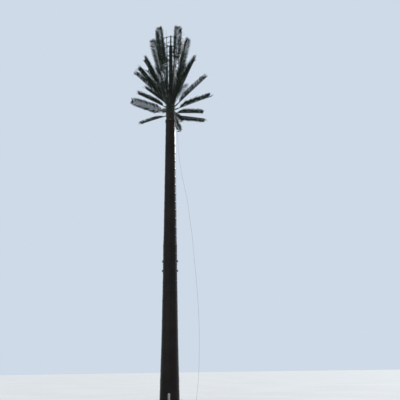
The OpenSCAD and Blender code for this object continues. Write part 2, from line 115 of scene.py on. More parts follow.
ROPE_STEP = 0.009
one_metre = evenly([Vector((0, 0, 0)), Vector((1, 0, 0))], ROPE_STEP)
print("1 m of rope takes", len(one_metre), "rings of points")

# %% [markdown]
# The tube is built ring by ring, with three lobes that turn as they go, as in a real
# three strand rope. The lay is the length in which a strand goes once round. The frame
# that carries a ring turns only as much as the line bends, so no strand ever jumps. A
# curve's own tilt could do this, but not along a line that was spaced in code.

# %% A swept tube
LAY, RING_SIDES, LOBE = 0.07, 9, 0.12


def rope_mesh(name, line, radius, lay=LAY, sides=RING_SIDES, lobe=LOBE):
    """A closed tube of three turning strands. Its UV map runs in metres along it."""
    points, faces, uvs = [], [], []
    way = (line[1] - line[0]).normalized()
    across = way.orthogonal().normalized()
    walked = [0.0]
    for i, spot in enumerate(line):
        new_way = (line[min(i + 1, len(line) - 1)] - line[max(i - 1, 0)]).normalized()
        across = (way.rotation_difference(new_way) @ across)
        across = (across - new_way * across.dot(new_way)).normalized()
        way = new_way
        up = way.cross(across)
        if i:
            walked.append(walked[-1] + (spot - line[i - 1]).length)
        for k in range(sides):
            around = 2 * pi * k / sides
            turned = around + 2 * pi * walked[-1] / lay
            reach = radius * (1 - lobe + lobe * cos(3 * around))
            points.append(spot + reach * (cos(turned) * across + sin(turned) * up))
    for i in range(len(line) - 1):
        for k in range(sides):
            m = (k + 1) % sides
            faces.append((i * sides + k, i * sides + m, (i + 1) * sides + m, (i + 1) * sides + k))
            low, high = walked[i], walked[i + 1]
            uvs += [(low, k / sides), (low, (k + 1) / sides), (high, (k + 1) / sides),
                    (high, k / sides)]
    last = (len(line) - 1) * sides
    faces += [tuple(range(sides))[::-1], tuple(last + k for k in range(sides))]
    uvs += [(0.0, 0.5)] * sides + [(walked[-1], 0.5)] * sides
    mesh = bpy.data.meshes.new(name)
    mesh.from_pydata(points, [], faces)
    layer = mesh.uv_layers.new(name="UVMap")
    layer.data.foreach_set("uv", [c for uv in uvs for c in uv])
    mesh.shade_smooth()
    piece = bpy.data.objects.new(name, mesh)
    scene.collection.objects.link(piece)
    return piece


print("a strand goes once round in", LAY, "m")

# %% [markdown]
# The route is a list of given points: it leaves the eye straight down, bows
# out to the tower's right in the wind, and comes back down on its coil. A cable curve
# could be solved for, but wind bends a real rope unevenly. A short bend of a few rope
# diameters turns it from its fall into the coil's outer turn.

# %% The rope's route
ROPE_R = 0.006
BEND_R = 0.036
EYE_X, EYE_WIRE_Z = 0.380, 17.326
HITCH_R = 0.015
REACH, SIDE, ROPE_TOP = 1.5, -0.04, 17.318
BOW = [
    (0, 0, 1), (0.007, 0, 0.9932), (0.036, 0.05, 0.9701), (0.071, 0.12, 0.9354),
    (0.116, 0.2, 0.8893), (0.188, 0.25, 0.8431), (0.286, 0.3, 0.7969), (0.402, 0.35, 0.7564),
    (0.527, 0.4, 0.716), (0.661, 0.45, 0.664), (0.768, 0.5, 0.6063), (0.875, 0.55, 0.5486),
    (0.964, 0.6, 0.4793), (1.045, 0.65, 0.4158), (1.116, 0.7, 0.3522), (1.17, 0.75, 0.2887),
    (1.192, 0.8, 0.2252), (1.183, 0.85, 0.1617), (1.152, 0.9, 0.1039), (1.098, 0.95, 0.0577),
    (1.045, 0.97, 0.0289), (1.013, 1, 0.0127),
]
hanging = [Vector((EYE_X + out * (REACH - EYE_X), aside * SIDE, share * ROPE_TOP))
           for out, aside, share in BOW]
hanging[0] = Vector((EYE_X, 0, EYE_WIRE_Z - HITCH_R))

coil_mid = Vector((REACH - 0.066, SIDE, 0))
OUTER_TURN, TURNS, POINTS_A_TURN = 0.080, 2.5, 16
landing = coil_mid + Vector((OUTER_TURN, -BEND_R, 3 * ROPE_R + BEND_R))
hanging.append(landing + Vector((0, 0, 0.06)))
for share in (0, 1 / 3, 2 / 3):
    turn = share * pi / 2
    hanging.append(landing + BEND_R * Vector((0, 1 - cos(turn), -sin(turn))))
print("hanging part:", len(hanging), "points,", round(length_of(hanging), 2), "m")

# %% [markdown]
# The coil starts on its upper layer's outer turn and winds inwards, drops to the
# ground in a quarter of a turn, and winds outwards again, so that no turn crosses
# another. A heap of loose loops would look as real, but it takes far more room. The
# turns lie one diameter apart.

# %% The coil and the rope
coiled = []
steps = round(TURNS * POINTS_A_TURN)
drop = POINTS_A_TURN // 4
for k in range(2 * steps + drop + 1):
    turns = k / POINTS_A_TURN
    inward = min(turns, TURNS)
    outward = max(0.0, (k - steps - drop) / POINTS_A_TURN)
    fall = min(max((k - steps) / drop, 0), 1)
    radius = OUTER_TURN - 2 * ROPE_R * (inward - outward)
    height = ROPE_R * (3 - 2 * fall)
    coiled.append(coil_mid + Vector((radius * cos(2 * pi * turns), radius * sin(2 * pi * turns),
                                     height)))
route = smooth_line(hanging + coiled, 6)
rope_line = evenly(route, ROPE_STEP)
rope = rope_mesh("rope_laid", rope_line, ROPE_R)
print("rope", round(length_of(rope_line), 2), "m, coil", round(length_of(coiled), 2), "m,",
      len(rope.data.polygons), "faces")

# %% [markdown]
# The rope is hitched to the eye and has a knot at its free end. Both are short tubes
# of the same rope: the hitch is a loop through the eye and three turns round the
# standing part, and the knot is a trefoil, which is an overhand knot drawn shut.

# %% Hitch and end knot
WRAP_R, WRAP_TOP, WRAP_FALL = 0.012, EYE_WIRE_Z - 0.024, 0.0021
loop = [Vector((EYE_X, HITCH_R * sin(a), EYE_WIRE_Z - HITCH_R * cos(a)))
        for a in [2 * pi * k / 24 for k in range(25)]]
wraps = [Vector((EYE_X + WRAP_R * cos(a), WRAP_R * sin(a), WRAP_TOP - WRAP_FALL * a))
         for a in [pi * k / 8 for k in range(52)]]
hitch = rope_mesh("rope_hitch", loop + wraps, ROPE_R)
end, before = rope_line[-1], rope_line[-4]
KNOT, KNOT_AHEAD, KNOT_UP = 0.0085, 0.018, 0.010
knot_mid = end + (end - before).normalized() * KNOT_AHEAD + Vector((0, 0, KNOT_UP))
trefoil = [knot_mid + KNOT * Vector((sin(a) + 2 * sin(2 * a), cos(a) - 2 * cos(2 * a),
                                     -sin(3 * a)))
           for a in [2 * pi * k / 72 for k in range(73)]]
knot = rope_mesh("rope_knot", trefoil, ROPE_R)
for piece in (rope, hitch, knot):
    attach(piece, "root")
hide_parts("rope", "rope_coil")
tuple(rope_line[0])
round(length_of(rope_line), 2)
[tuple(spot) for spot in rope_line]
print("rope runs from", [round(c, 2) for c in rope_line[0]], "to", [round(c, 2) for c in end])

# %% [markdown]
# ## Floor, background and lamps
# The floor is plain and pale. A plane would do, but its corners would show from above,
# so it is a disc, so wide that its edge reads as a horizon. An operator acts on all
# that is selected, and the loaded solids are selected, so everything is deselected
# before anything is added.

# %% The floor
FLOOR_R = 400


def clear_selection():
    """Leave edit mode and deselect all, the CAD nodes too."""
    if bpy.context.object and bpy.context.object.mode != "OBJECT":
        bpy.ops.object.mode_set(mode="OBJECT")
    bpy.ops.object.select_all(action="DESELECT")


clear_selection()
bpy.ops.mesh.primitive_circle_add(vertices=96, radius=FLOOR_R, fill_type="NGON")
floor = bpy.context.object
floor.name = "floor"
print("floor", 2 * FLOOR_R, "m across")

# %% [markdown]
# A material is a graph of nodes. They could be added and wired one at a time, as in the
# node editor, but with a few helpers each step is one line that reads like a sum. They
# serve the world, the finishes and the shared effects alike.

# %% Helpers for nodes
def add_node(tree, kind, options=None, **sockets):
    """A shader node with its options and sockets set. A socket's value may be a link."""
    made = tree.nodes.new("ShaderNode" + kind)
    for key, value in (options or {}).items():
        setattr(made, key, value)
    for key, value in sockets.items():
        feed(tree, made.inputs[key.replace("_", " ")], value)
    return made


def feed(tree, socket, value):
    if isinstance(value, bpy.types.NodeSocket):
        tree.links.new(value, socket)
    else:
        socket.default_value = value


def maths(tree, operation, a, b=0.5, c=0.0):
    """The value of a Math node."""
    made = tree.nodes.new("ShaderNodeMath")
    made.operation = operation
    for socket, value in zip(made.inputs, (a, b, c)):
        feed(tree, socket, value)
    return made.outputs[0]


def blend(tree, share, a, b):
    """A colour between two colours."""
    made = tree.nodes.new("ShaderNodeMix")
    made.data_type = "RGBA"
    for index, value in ((0, share), (6, a), (7, b)):
        feed(tree, made.inputs[index], value)
    return made.outputs[2]


def empty_material(name):
    material = bpy.data.materials.new(name)
    material.use_nodes = True
    material.node_tree.nodes.clear()
    return material, material.node_tree


print("materials so far:", [material.name for material in bpy.data.materials])

# %% [markdown]
# The tower stands in the open, where soft light comes from all round. A lamp on every
# side would copy that, but each would throw its own shadow. So the world is a plain pale
# blue grey: at strength 1 it is shown to the camera and to reflections only, and at about
# half that strength it fills the shade.

# %% The background
BACKGROUND = (0.62, 0.70, 0.80, 1)
SOFT_LIGHT = 0.55
world = bpy.data.worlds.new("studio")
scene.world = world
world.use_nodes = True
tree = world.node_tree
tree.nodes.clear()
rays = tree.nodes.new("ShaderNodeLightPath").outputs
seen = maths(tree, "MAXIMUM", rays["Is Camera Ray"], rays["Is Glossy Ray"])
seen = maths(tree, "MAXIMUM", seen, rays["Is Transmission Ray"])
level = maths(tree, "MULTIPLY_ADD", seen, 1 - SOFT_LIGHT, SOFT_LIGHT)
shown = add_node(tree, "Background", Color=BACKGROUND, Strength=level)
add_node(tree, "OutputWorld", Surface=shown.outputs[0])
scene.view_settings.view_transform = "Standard"
print("background", BACKGROUND[:3], "with a soft light of", SOFT_LIGHT)

# %% [markdown]
# The sun stands low behind the tower's right side, which leaves a thin lit line down the
# trunk. An area lamp would fade over 24 m of height, so it is a sun lamp. A second, weak
# and very wide one from the front left is the studio's fill.

# %% The lamps
def sun(name, azimuth, elevation, energy, width):
    """A sun lamp that shines from the given azimuth and elevation, in degrees."""
    data = bpy.data.lights.new(name, "SUN")
    data.energy, data.angle = energy, radians(width)
    lamp = bpy.data.objects.new(name, data)
    scene.collection.objects.link(lamp)
    a, e = radians(azimuth), radians(elevation)
    source = Vector((cos(a) * cos(e), sin(a) * cos(e), sin(e)))
    lamp.matrix_world = source.to_track_quat("Z", "Y").to_matrix().to_4x4()
    return lamp


key = sun("key", 50, 28, 3.4, 6)
fill = sun("fill", -125, 25, 0.4, 60)
print("lamps:", key.name, key.data.energy, "and", fill.name, fill.data.energy)

# %% [markdown]
# ## Effects that several finishes share
# Weather leaves the same marks on every outdoor surface: broad patches, streaks that
# run down, dust on what faces up, worn edges and a fine grain. Each could be drawn
# again in every material. Here each is a node group with its own inputs, placed in a
# material with that finish's values. The patterns sit on Object coordinates, in metres.

# %% Making and placing a group
def new_group(name, inputs, outputs):
    """An empty group with number inputs (name: value) and number outputs."""
    tree = bpy.data.node_groups.new(name, "ShaderNodeTree")
    for title, value in inputs.items():
        socket = tree.interface.new_socket(title, in_out="INPUT", socket_type="NodeSocketFloat")
        socket.default_value = value
    for title in outputs:
        tree.interface.new_socket(title, in_out="OUTPUT", socket_type="NodeSocketFloat")
    return tree, tree.nodes.new("NodeGroupInput").outputs, tree.nodes.new("NodeGroupOutput").inputs


def placed(tree, group, **values):
    """A group's outputs in a material's tree, with its inputs set."""
    made = tree.nodes.new("ShaderNodeGroup")
    made.node_tree = group
    for key, value in values.items():
        feed(tree, made.inputs[key], value)
    return made.outputs


def place_of(tree, stretch=(1, 1, 1)):
    """Object coordinates, squeezed or stretched along the axes."""
    where = tree.nodes.new("ShaderNodeTexCoord").outputs["Object"]
    return add_node(tree, "Mapping", Vector=where, Scale=stretch).outputs[0]


def ramp(tree, value, low, high):
    """The value spread so that low becomes 0 and high becomes 1."""
    made = add_node(tree, "MapRange", {"interpolation_type": "SMOOTHSTEP"}, Value=value)
    made.inputs["From Min"].default_value = low
    made.inputs["From Max"].default_value = high
    return made.outputs[0]


print("node groups so far:", len(bpy.data.node_groups))

# %% [markdown]
# Paint and plastic fade in broad patches, and rain leaves streaks that run down. Both
# could be painted by hand, but noise serves every height of the tower: a large one for
# the patches, and a fine one, stretched twenty times along the height, for the streaks.

# %% Weather
weather, given, result = new_group("weather", {"Size": 1.0}, ["Patches", "Streaks"])
size = maths(weather, "DIVIDE", 1.0, given["Size"])
patch = add_node(weather, "TexNoise", Vector=place_of(weather), Scale=size, Detail=5.0)
feed(weather, result["Patches"], ramp(weather, patch.outputs[0], 0.36, 0.66))
fine = maths(weather, "MULTIPLY", size, 9.0)
streak = add_node(weather, "TexNoise", Vector=place_of(weather, (1, 1, 0.05)), Scale=fine,
                  Detail=4.0)
feed(weather, result["Streaks"], ramp(weather, streak.outputs[0], 0.45, 0.7))
print(weather.name, "has", len(weather.nodes), "nodes")

# %% [markdown]
# Dust lies on what faces up, in specks. Paint wears off first along edges: a Bevel node
# rounds the normal there, and where that leaves the true normal, there is an edge. The
# pointiness of a mesh would show edges too, but only where it has many vertices.

# %% Dust and worn edges
dust, given, result = new_group("dust", {"Amount": 0.5}, ["Dust"])
facing = add_node(dust, "SeparateXYZ", Vector=dust.nodes.new("ShaderNodeNewGeometry")
                  .outputs["Normal"]).outputs["Z"]
speck = add_node(dust, "TexNoise", Vector=place_of(dust), Scale=14.0, Detail=6.0)
lying = maths(dust, "MULTIPLY", ramp(dust, facing, 0.25, 0.95),
              ramp(dust, speck.outputs[0], 0.3, 0.7))
feed(dust, result["Dust"], maths(dust, "MULTIPLY", lying, given["Amount"]))

edges, given, result = new_group("edges", {"Radius": 0.004}, ["Edge"])
rounded = add_node(edges, "Bevel", {"samples": 4}, Radius=given["Radius"]).outputs[0]
flat = edges.nodes.new("ShaderNodeNewGeometry").outputs["Normal"]
same = add_node(edges, "VectorMath", {"operation": "DOT_PRODUCT"})
edges.links.new(rounded, same.inputs[0])
edges.links.new(flat, same.inputs[1])
off = maths(edges, "SUBTRACT", 1.0, same.outputs["Value"])
feed(edges, result["Edge"], ramp(edges, off, 0.02, 0.2))
print(dust.name, "and", edges.name, "have", len(dust.nodes), "and", len(edges.nodes), "nodes")

# %% [markdown]
# Grain is a fine noise that can be drawn out along the height, as in fibres. It could be
# two effects, one for grit and one for fibres, but a length of 1 gives the first and a
# larger one the second. It puts out a height, for bumps and for tones.

# %% Grain
grain, given, result = new_group("grain", {"Size": 0.01, "Length": 1.0}, ["Height"])
scale = maths(grain, "DIVIDE", 1.0, given["Size"])
squeeze = add_node(grain, "CombineXYZ", X=1.0, Y=1.0,
                   Z=maths(grain, "DIVIDE", 1.0, given["Length"])).outputs[0]
where = grain.nodes.new("ShaderNodeTexCoord").outputs["Object"]
squeezed = add_node(grain, "VectorMath", {"operation": "MULTIPLY"})
grain.links.new(where, squeezed.inputs[0])
grain.links.new(squeeze, squeezed.inputs[1])
grit = add_node(grain, "TexNoise", Vector=squeezed.outputs[0], Scale=scale, Detail=5.0,
                Roughness=0.6)
feed(grain, result["Height"], grit.outputs[0])
print("node groups:", [group.name for group in bpy.data.node_groups])

# %% [markdown]
# ## Finishes
# Each finish starts from one written colour, which the groups then darken, fade and
# wear. A material could be wired anew for each finish, but they all end in the same
# shader, so one function builds it from a colour, a roughness and a few bumps. Bump
# heights are in metres, so they stay at the right scale.

# %% A finish from its parts
def finish(name, colour, rough, bumps, metal=0.0, level=0.5):
    """A material. Colour, rough and bumps are functions that build their own nodes.

    Bumps are pairs of a height value and its depth in metres."""
    material, tree = empty_material(name)
    surface = add_node(tree, "BsdfPrincipled")
    colour, rough, bumps = colour(tree), rough(tree), bumps(tree)
    feed(tree, surface.inputs["Base Color"], colour)
    feed(tree, surface.inputs["Roughness"], rough)
    surface.inputs["Metallic"].default_value = metal
    surface.inputs["Specular IOR Level"].default_value = level
    normal = None
    for height, depth in bumps:
        bump = add_node(tree, "Bump", Height=height, Distance=depth)
        if normal:
            tree.links.new(normal, bump.inputs["Normal"])
        normal = bump.outputs[0]
    if normal:
        tree.links.new(normal, surface.inputs["Normal"])
    add_node(tree, "OutputMaterial", Surface=surface.outputs[0])
    return material


def shade(colour, factor):
    """The colour made darker or lighter."""
    return tuple(c * factor for c in colour[:3]) + (1,)


print("half of a mid grey:", shade((0.5, 0.5, 0.5), 0.5))

# %% [markdown]
# Hot dip zinc is a dull grey metal with a faint spangle, darker where water runs. Noise
# would blur the spangle, so it is made of Voronoi cells, each with a tone of its own.

# %% Zinc
def zinc_colour(tree):
    marks = placed(tree, weather, Size=0.5)
    cells = add_node(tree, "TexVoronoi", Vector=place_of(tree), Scale=60.0).outputs["Color"]
    tone = add_node(tree, "SeparateColor", Color=cells).outputs[0]
    base = blend(tree, tone, (0.34, 0.35, 0.36, 1), (0.44, 0.45, 0.46, 1))
    base = blend(tree, marks["Streaks"], base, (0.25, 0.24, 0.23, 1))
    return blend(tree, placed(tree, dust, Amount=0.6)["Dust"], base, (0.30, 0.27, 0.23, 1))


def zinc_rough(tree):
    patches = placed(tree, weather, Size=0.2)["Patches"]
    return maths(tree, "MULTIPLY_ADD", patches, 0.2, 0.45)


zinc = finish("zinc", zinc_colour, zinc_rough,
              lambda tree: [(placed(tree, grain, Size=0.012)["Height"], 0.0004)], metal=0.8)
print(zinc.name, "has", len(zinc.node_tree.nodes), "nodes")

# %% [markdown]
# Painted steel is matt, fades in patches and is worn at its edges. The pole is brown, so
# that it passes for bark, and the crown's steel is a green that hides among the fronds.
# The two paints differ only in colour, so one function makes both.

# %% Paint
def painted(name, colour, faded, bare):
    """Matt paint that fades in patches and wears off at its edges."""
    def colours(tree):
        marks = placed(tree, weather, Size=0.8)
        base = blend(tree, marks["Patches"], colour, faded)
        base = blend(tree, marks["Streaks"], base, shade(colour, 0.6))
        base = blend(tree, placed(tree, dust, Amount=0.45)["Dust"], base, (0.12, 0.11, 0.09, 1))
        return blend(tree, placed(tree, edges, Radius=0.004)["Edge"], base, bare)

    def rough(tree):
        return maths(tree, "MULTIPLY_ADD", placed(tree, weather, Size=0.3)["Patches"], 0.18, 0.5)
    return finish(name, colours, rough,
                  lambda tree: [(placed(tree, grain, Size=0.006)["Height"], 0.0003)], level=0.15)


pole_paint = painted("pole_paint", (0.022, 0.017, 0.014, 1), (0.032, 0.026, 0.021, 1),
                     (0.09, 0.075, 0.06, 1))
crown_paint = painted("crown_paint", (0.017, 0.026, 0.019, 1), (0.030, 0.042, 0.032, 1),
                      (0.07, 0.08, 0.065, 1))
print("made", pole_paint.name, "and", crown_paint.name)

# %% [markdown]
# The bark is a rough moulded skin with upright fibres, dark umber and greyer in
# patches. A wave texture would give fibres that are too even, so they are a noise that
# is stretched along the trunk, once for the colour and twice for the bumps.

# %% Bark
def bark_colour(tree):
    marks = placed(tree, weather, Size=0.9)
    fibre = placed(tree, grain, Size=0.02, Length=9.0)["Height"]
    base = blend(tree, ramp(tree, fibre, 0.3, 0.7), (0.006, 0.0045, 0.004, 1),
                 (0.017, 0.0125, 0.010, 1))
    base = blend(tree, maths(tree, "MULTIPLY", marks["Patches"], 0.5), base,
                 (0.022, 0.017, 0.014, 1))
    return blend(tree, placed(tree, dust, Amount=0.4)["Dust"], base, (0.08, 0.068, 0.052, 1))


def bark_rough(tree):
    fibre = placed(tree, grain, Size=0.05, Length=5.0)["Height"]
    return maths(tree, "MULTIPLY_ADD", fibre, 0.12, 0.28)


bark = finish("bark", bark_colour, bark_rough, lambda tree: [
    (placed(tree, grain, Size=0.03, Length=8.0)["Height"], 0.0016),
    (placed(tree, grain, Size=0.008, Length=3.0)["Height"], 0.0005)], level=0.10)
print(bark.name, "has", len(bark.node_tree.nodes), "nodes")

# %% [markdown]
# The radomes are satin grey green plastic that lets radio waves through, so there is no
# metal in their finish. Plain paint would look alike but wears at edges, and moulded
# plastic doesn't. It only fades, streaks and gathers dust.

# %% Radome
def radome_colour(tree):
    marks = placed(tree, weather, Size=0.6)
    base = blend(tree, marks["Patches"], (0.065, 0.085, 0.070, 1), (0.085, 0.105, 0.088, 1))
    base = blend(tree, marks["Streaks"], base, (0.05, 0.062, 0.052, 1))
    return blend(tree, placed(tree, dust, Amount=0.5)["Dust"], base, (0.16, 0.15, 0.12, 1))


def radome_rough(tree):
    return maths(tree, "MULTIPLY_ADD", placed(tree, weather, Size=0.2)["Patches"], 0.15, 0.42)


radome = finish("radome", radome_colour, radome_rough,
                lambda tree: [(placed(tree, grain, Size=0.003)["Height"], 0.0002)], level=0.4)
print(radome.name, "has", len(radome.node_tree.nodes), "nodes")

# %% [markdown]
# The fronds are a harder, darker green plastic. Old leaflets fade, so each has its own
# tone, and its tip is yellower. A material can't tell leaflets apart by place alone, so
# an attribute of the mesh helps: its x runs from the leaflet's root to its tip, its y
# across, where fine ribs follow it, and its z is the leaflet's tone.

# %% Leaf
def leaf_parts(tree):
    found = add_node(tree, "Attribute", {"attribute_name": "leaf"}).outputs["Vector"]
    return add_node(tree, "SeparateXYZ", Vector=found).outputs


def leaf_colour(tree):
    along, across, tone = leaf_parts(tree)
    base = blend(tree, tone, (0.004, 0.009, 0.006, 1), (0.011, 0.020, 0.012, 1))
    base = blend(tree, ramp(tree, along, 0.6, 1.3), base, (0.035, 0.042, 0.020, 1))
    marks = placed(tree, weather, Size=0.5)
    base = blend(tree, maths(tree, "MULTIPLY", marks["Patches"], 0.3), base,
                 (0.022, 0.030, 0.021, 1))
    return blend(tree, placed(tree, dust, Amount=0.25)["Dust"], base, (0.07, 0.07, 0.05, 1))


def leaf_rough(tree):
    grit = placed(tree, grain, Size=0.02)["Height"]
    return maths(tree, "MULTIPLY_ADD", grit, 0.30, 0.20)


def leaf_bumps(tree):
    across = leaf_parts(tree)[1]
    ribs = maths(tree, "SINE", maths(tree, "MULTIPLY", across, 30.0))
    return [(ribs, 0.0004), (placed(tree, grain, Size=0.01)["Height"], 0.0003)]


leaf = finish("leaf", leaf_colour, leaf_rough, leaf_bumps, level=0.10)
print(leaf.name, "has", len(leaf.node_tree.nodes), "nodes")

# %% [markdown]
# The rope is laid fibre, beige gone grey, with painted shade in its grooves. Object
# coordinates would slide over the strands, so the rope has a UV map of its own. Across
# it the strands repeat three times, so the groove is a wave of that number.

# %% Rope
# 0 at the bottom of a groove and 1 on top of a strand: the colour uses it for painted shade, the
# roughness for a rougher groove.
def groove(tree):
    uv = tree.nodes.new("ShaderNodeUVMap").outputs[0]
    v = add_node(tree, "SeparateXYZ", Vector=uv).outputs["Y"]
    wave = maths(tree, "COSINE", maths(tree, "MULTIPLY", v, 6 * pi))
    return ramp(tree, wave, -1.0, 0.2)


def rope_colour(tree):
    # Painted shade: the colour is three times darker at the bottom of each groove between the
    # strands.
    base = blend(tree, groove(tree), (0.10, 0.085, 0.065, 1), (0.30, 0.27, 0.22, 1))
    marks = placed(tree, weather, Size=0.7)
    return blend(tree, maths(tree, "MULTIPLY", marks["Patches"], 0.5), base,
                 (0.20, 0.185, 0.16, 1))


def rope_bumps(tree):
    return [(placed(tree, grain, Size=0.002)["Height"], 0.0006)]


fibre = finish("rope_fibre", rope_colour,
               lambda tree: maths(tree, "MULTIPLY_ADD", groove(tree), -0.1, 0.9),
               rope_bumps, level=0.2)
for piece in (rope, hitch, knot):
    piece.data.materials.append(fibre)
print(fibre.name, "has", len(fibre.node_tree.nodes), "nodes")

# %% [markdown]
# The floor is matt and nearly white, with a faint change of tone, so that it carries the
# tower's shadow and nothing else. A shadow catcher would need a compositor.

# %% The floor's finish
ground, tree = empty_material("floor")
patches = placed(tree, weather, Size=6.0)["Patches"]
pale = blend(tree, patches, (0.78, 0.78, 0.77, 1), (0.82, 0.82, 0.81, 1))
plain = add_node(tree, "BsdfPrincipled", Base_Color=pale, Roughness=0.9)
plain.inputs["Specular IOR Level"].default_value = 0.1
add_node(tree, "OutputMaterial", Surface=plain.outputs[0])
floor.data.materials.append(ground)
print("finishes:", [material.name for material in bpy.data.materials])

# %% [markdown]
# ## Carried over solids
# Pipes, rings, collars, plates and lugs have their real shape already. They could be
# modelled again, but would only lose accuracy, so they keep their CAD mesh and get the
# finish of their slot in the record. What needs more than that is replaced further on.

# %% Finishes on the solids
FINISHES = {"galvanised_steel": zinc, "painted_steel": pole_paint, "crown_steel": crown_paint,
            "bark": bark, "radome": radome, "frond": leaf, "rope": fibre}
for part in frame["record"]["subparts"]:
    solid = frame["nodes"][part["node"]]
    solid.data.materials.clear()
    solid.data.materials.append(FINISHES[part["material_slot"]])

# %% [markdown]
# ## Modelling helpers
# A piece is shaped as by hand in edit mode: parts of it are selected, and the usual
# operators move, scale and extrude them. A mouse selects by clicking, a script by a test
# of each part's place. When a piece is done, its place is set into its mesh.

# %% Picking parts of a mesh
def pick(piece, test, mode="VERT"):
    """In edit mode, select the vertices, edges or faces whose place passes the test."""
    bpy.ops.object.mode_set(mode="EDIT")
    bpy.ops.mesh.select_mode(type=mode)
    bpy.ops.mesh.select_all(action="DESELECT")
    bpy.ops.object.mode_set(mode="OBJECT")
    if mode == "VERT":
        for item in piece.data.vertices:
            item.select = test(item.co)
    elif mode == "EDGE":
        spots = piece.data.vertices
        for item in piece.data.edges:
            item.select = test(spots[item.vertices[0]].co, spots[item.vertices[1]].co)
    else:
        for item in piece.data.polygons:
            item.select = test(item.center)
    bpy.ops.object.mode_set(mode="EDIT")


def done(piece, name):
    """Leave edit mode, set the piece's place into its mesh, and name it."""
    bpy.ops.object.mode_set(mode="OBJECT")
    bpy.ops.object.transform_apply(location=True, rotation=True, scale=True)
    piece.name = piece.data.name = name
    return piece


pick(floor, lambda co: co.x > 0)
bpy.ops.object.mode_set(mode="OBJECT")
print("picked", sum(spot.select for spot in floor.data.vertices), "vertices of the floor")

# %% [markdown]
# What repeats is modelled once. An array modifier spaces its copies evenly, but bolts
# and fronds stand at uneven places, so each copy gets a place of its own and its own
# mesh. Copies that belong together are then joined into one piece.

# %% Copies and joins
def twin(piece, name, matrix):
    """A copy with its own mesh, moved to its place."""
    copy = piece.copy()
    copy.data = piece.data.copy()
    copy.data.transform(matrix)
    copy.name = copy.data.name = name
    scene.collection.objects.link(copy)
    return copy


def join(pieces, name):
    """One piece made of several."""
    clear_selection()
    for piece in pieces:
        piece.select_set(True)
    bpy.context.view_layer.objects.active = pieces[0]
    if len(pieces) > 1:
        bpy.ops.object.join()
    pieces[0].name = pieces[0].data.name = name
    return pieces[0]


def drop_piece(piece):
    """Delete a piece that was only there to be copied."""
    mesh = piece.data
    bpy.data.objects.remove(piece)
    bpy.data.meshes.remove(mesh)


# %% [markdown]
# ## Bark
# The cladding comes in three skins: the lower trunk, the sleeve over the slip joint,
# and the upper trunk. Rings of old leaf scars run round it, each with a wavy lip that
# juts out and a rough, fibrous belly. Sculpting it by brush isn't repeatable, so the
# surface is first written as a sum of three: the trunk's own profile, the lip of the
# nearest scar, and noise that is long along the fibres.

# %% The trunk's profile
SLEEVE_LOW, SLEEVE_TOP, TRUNK_TOP = 7.3, 8.97, 17.29
PROFILE = [(0, 0.570), (3.3, 0.486), (SLEEVE_LOW, 0.428), (SLEEVE_TOP, 0.425),
           (SLEEVE_TOP + 0.5, 0.403), (TRUNK_TOP, 0.316)]
SCAR_PITCH, LIP_OUT, LIP_LOW, LIP_HIGH = 0.55, 0.012, 0.12, 0.014
LIP_WAVE, LUMPS, FIBRES, GRIT = 0.045, 0.004, 0.0036, 0.0018


def trunk_radius(z):
    for (low_z, low_r), (high_z, high_r) in zip(PROFILE, PROFILE[1:]):
        if z <= high_z:
            return low_r + (high_r - low_r) * (z - low_z) / (high_z - low_z)
    return PROFILE[-1][1]


def scar_lip(z, pitch, foot, around):
    """How far the lip of the nearest scar stands out at this height and azimuth."""
    ring = round((z - foot) / pitch)
    wave = LIP_WAVE * noise.noise(Vector((1.6 * cos(around), 1.6 * sin(around), 7.3 * ring)))
    over = z - (foot + ring * pitch + wave)
    jut = 0.7 + 0.5 * noise.noise(Vector((5 * cos(around), 5 * sin(around), 3.1 * ring)))
    if over > 0:
        return LIP_OUT * jut * max(0, 1 - over / LIP_HIGH)
    return LIP_OUT * jut * max(0, 1 + over / LIP_LOW) ** 1.5


def relief(x, y, z):
    """Rough belly and fibres, in metres."""
    lumps = noise.noise(Vector((4 * x, 4 * y, 2.2 * z)))
    fibres = noise.noise(Vector((26 * x, 26 * y, 3.5 * z)))
    grit = noise.noise(Vector((60 * x, 60 * y, 24 * z)))
    return LUMPS * lumps + FIBRES * fibres + GRIT * grit


print("trunk radius at 0, 9 and 17 m:", [round(trunk_radius(z), 3) for z in (0, 9, 17)])

# %% [markdown]
# Each skin starts as an open cylinder and is cut into rows by an operator. Every vertex
# is then pushed out to the surface above. The rims are turned in and bridged, so that
# each skin is a closed wall, as the moulded one is.

# %% Bark skins
BARK_SIDES, ROW = 96, 0.024
SKIN = 0.03


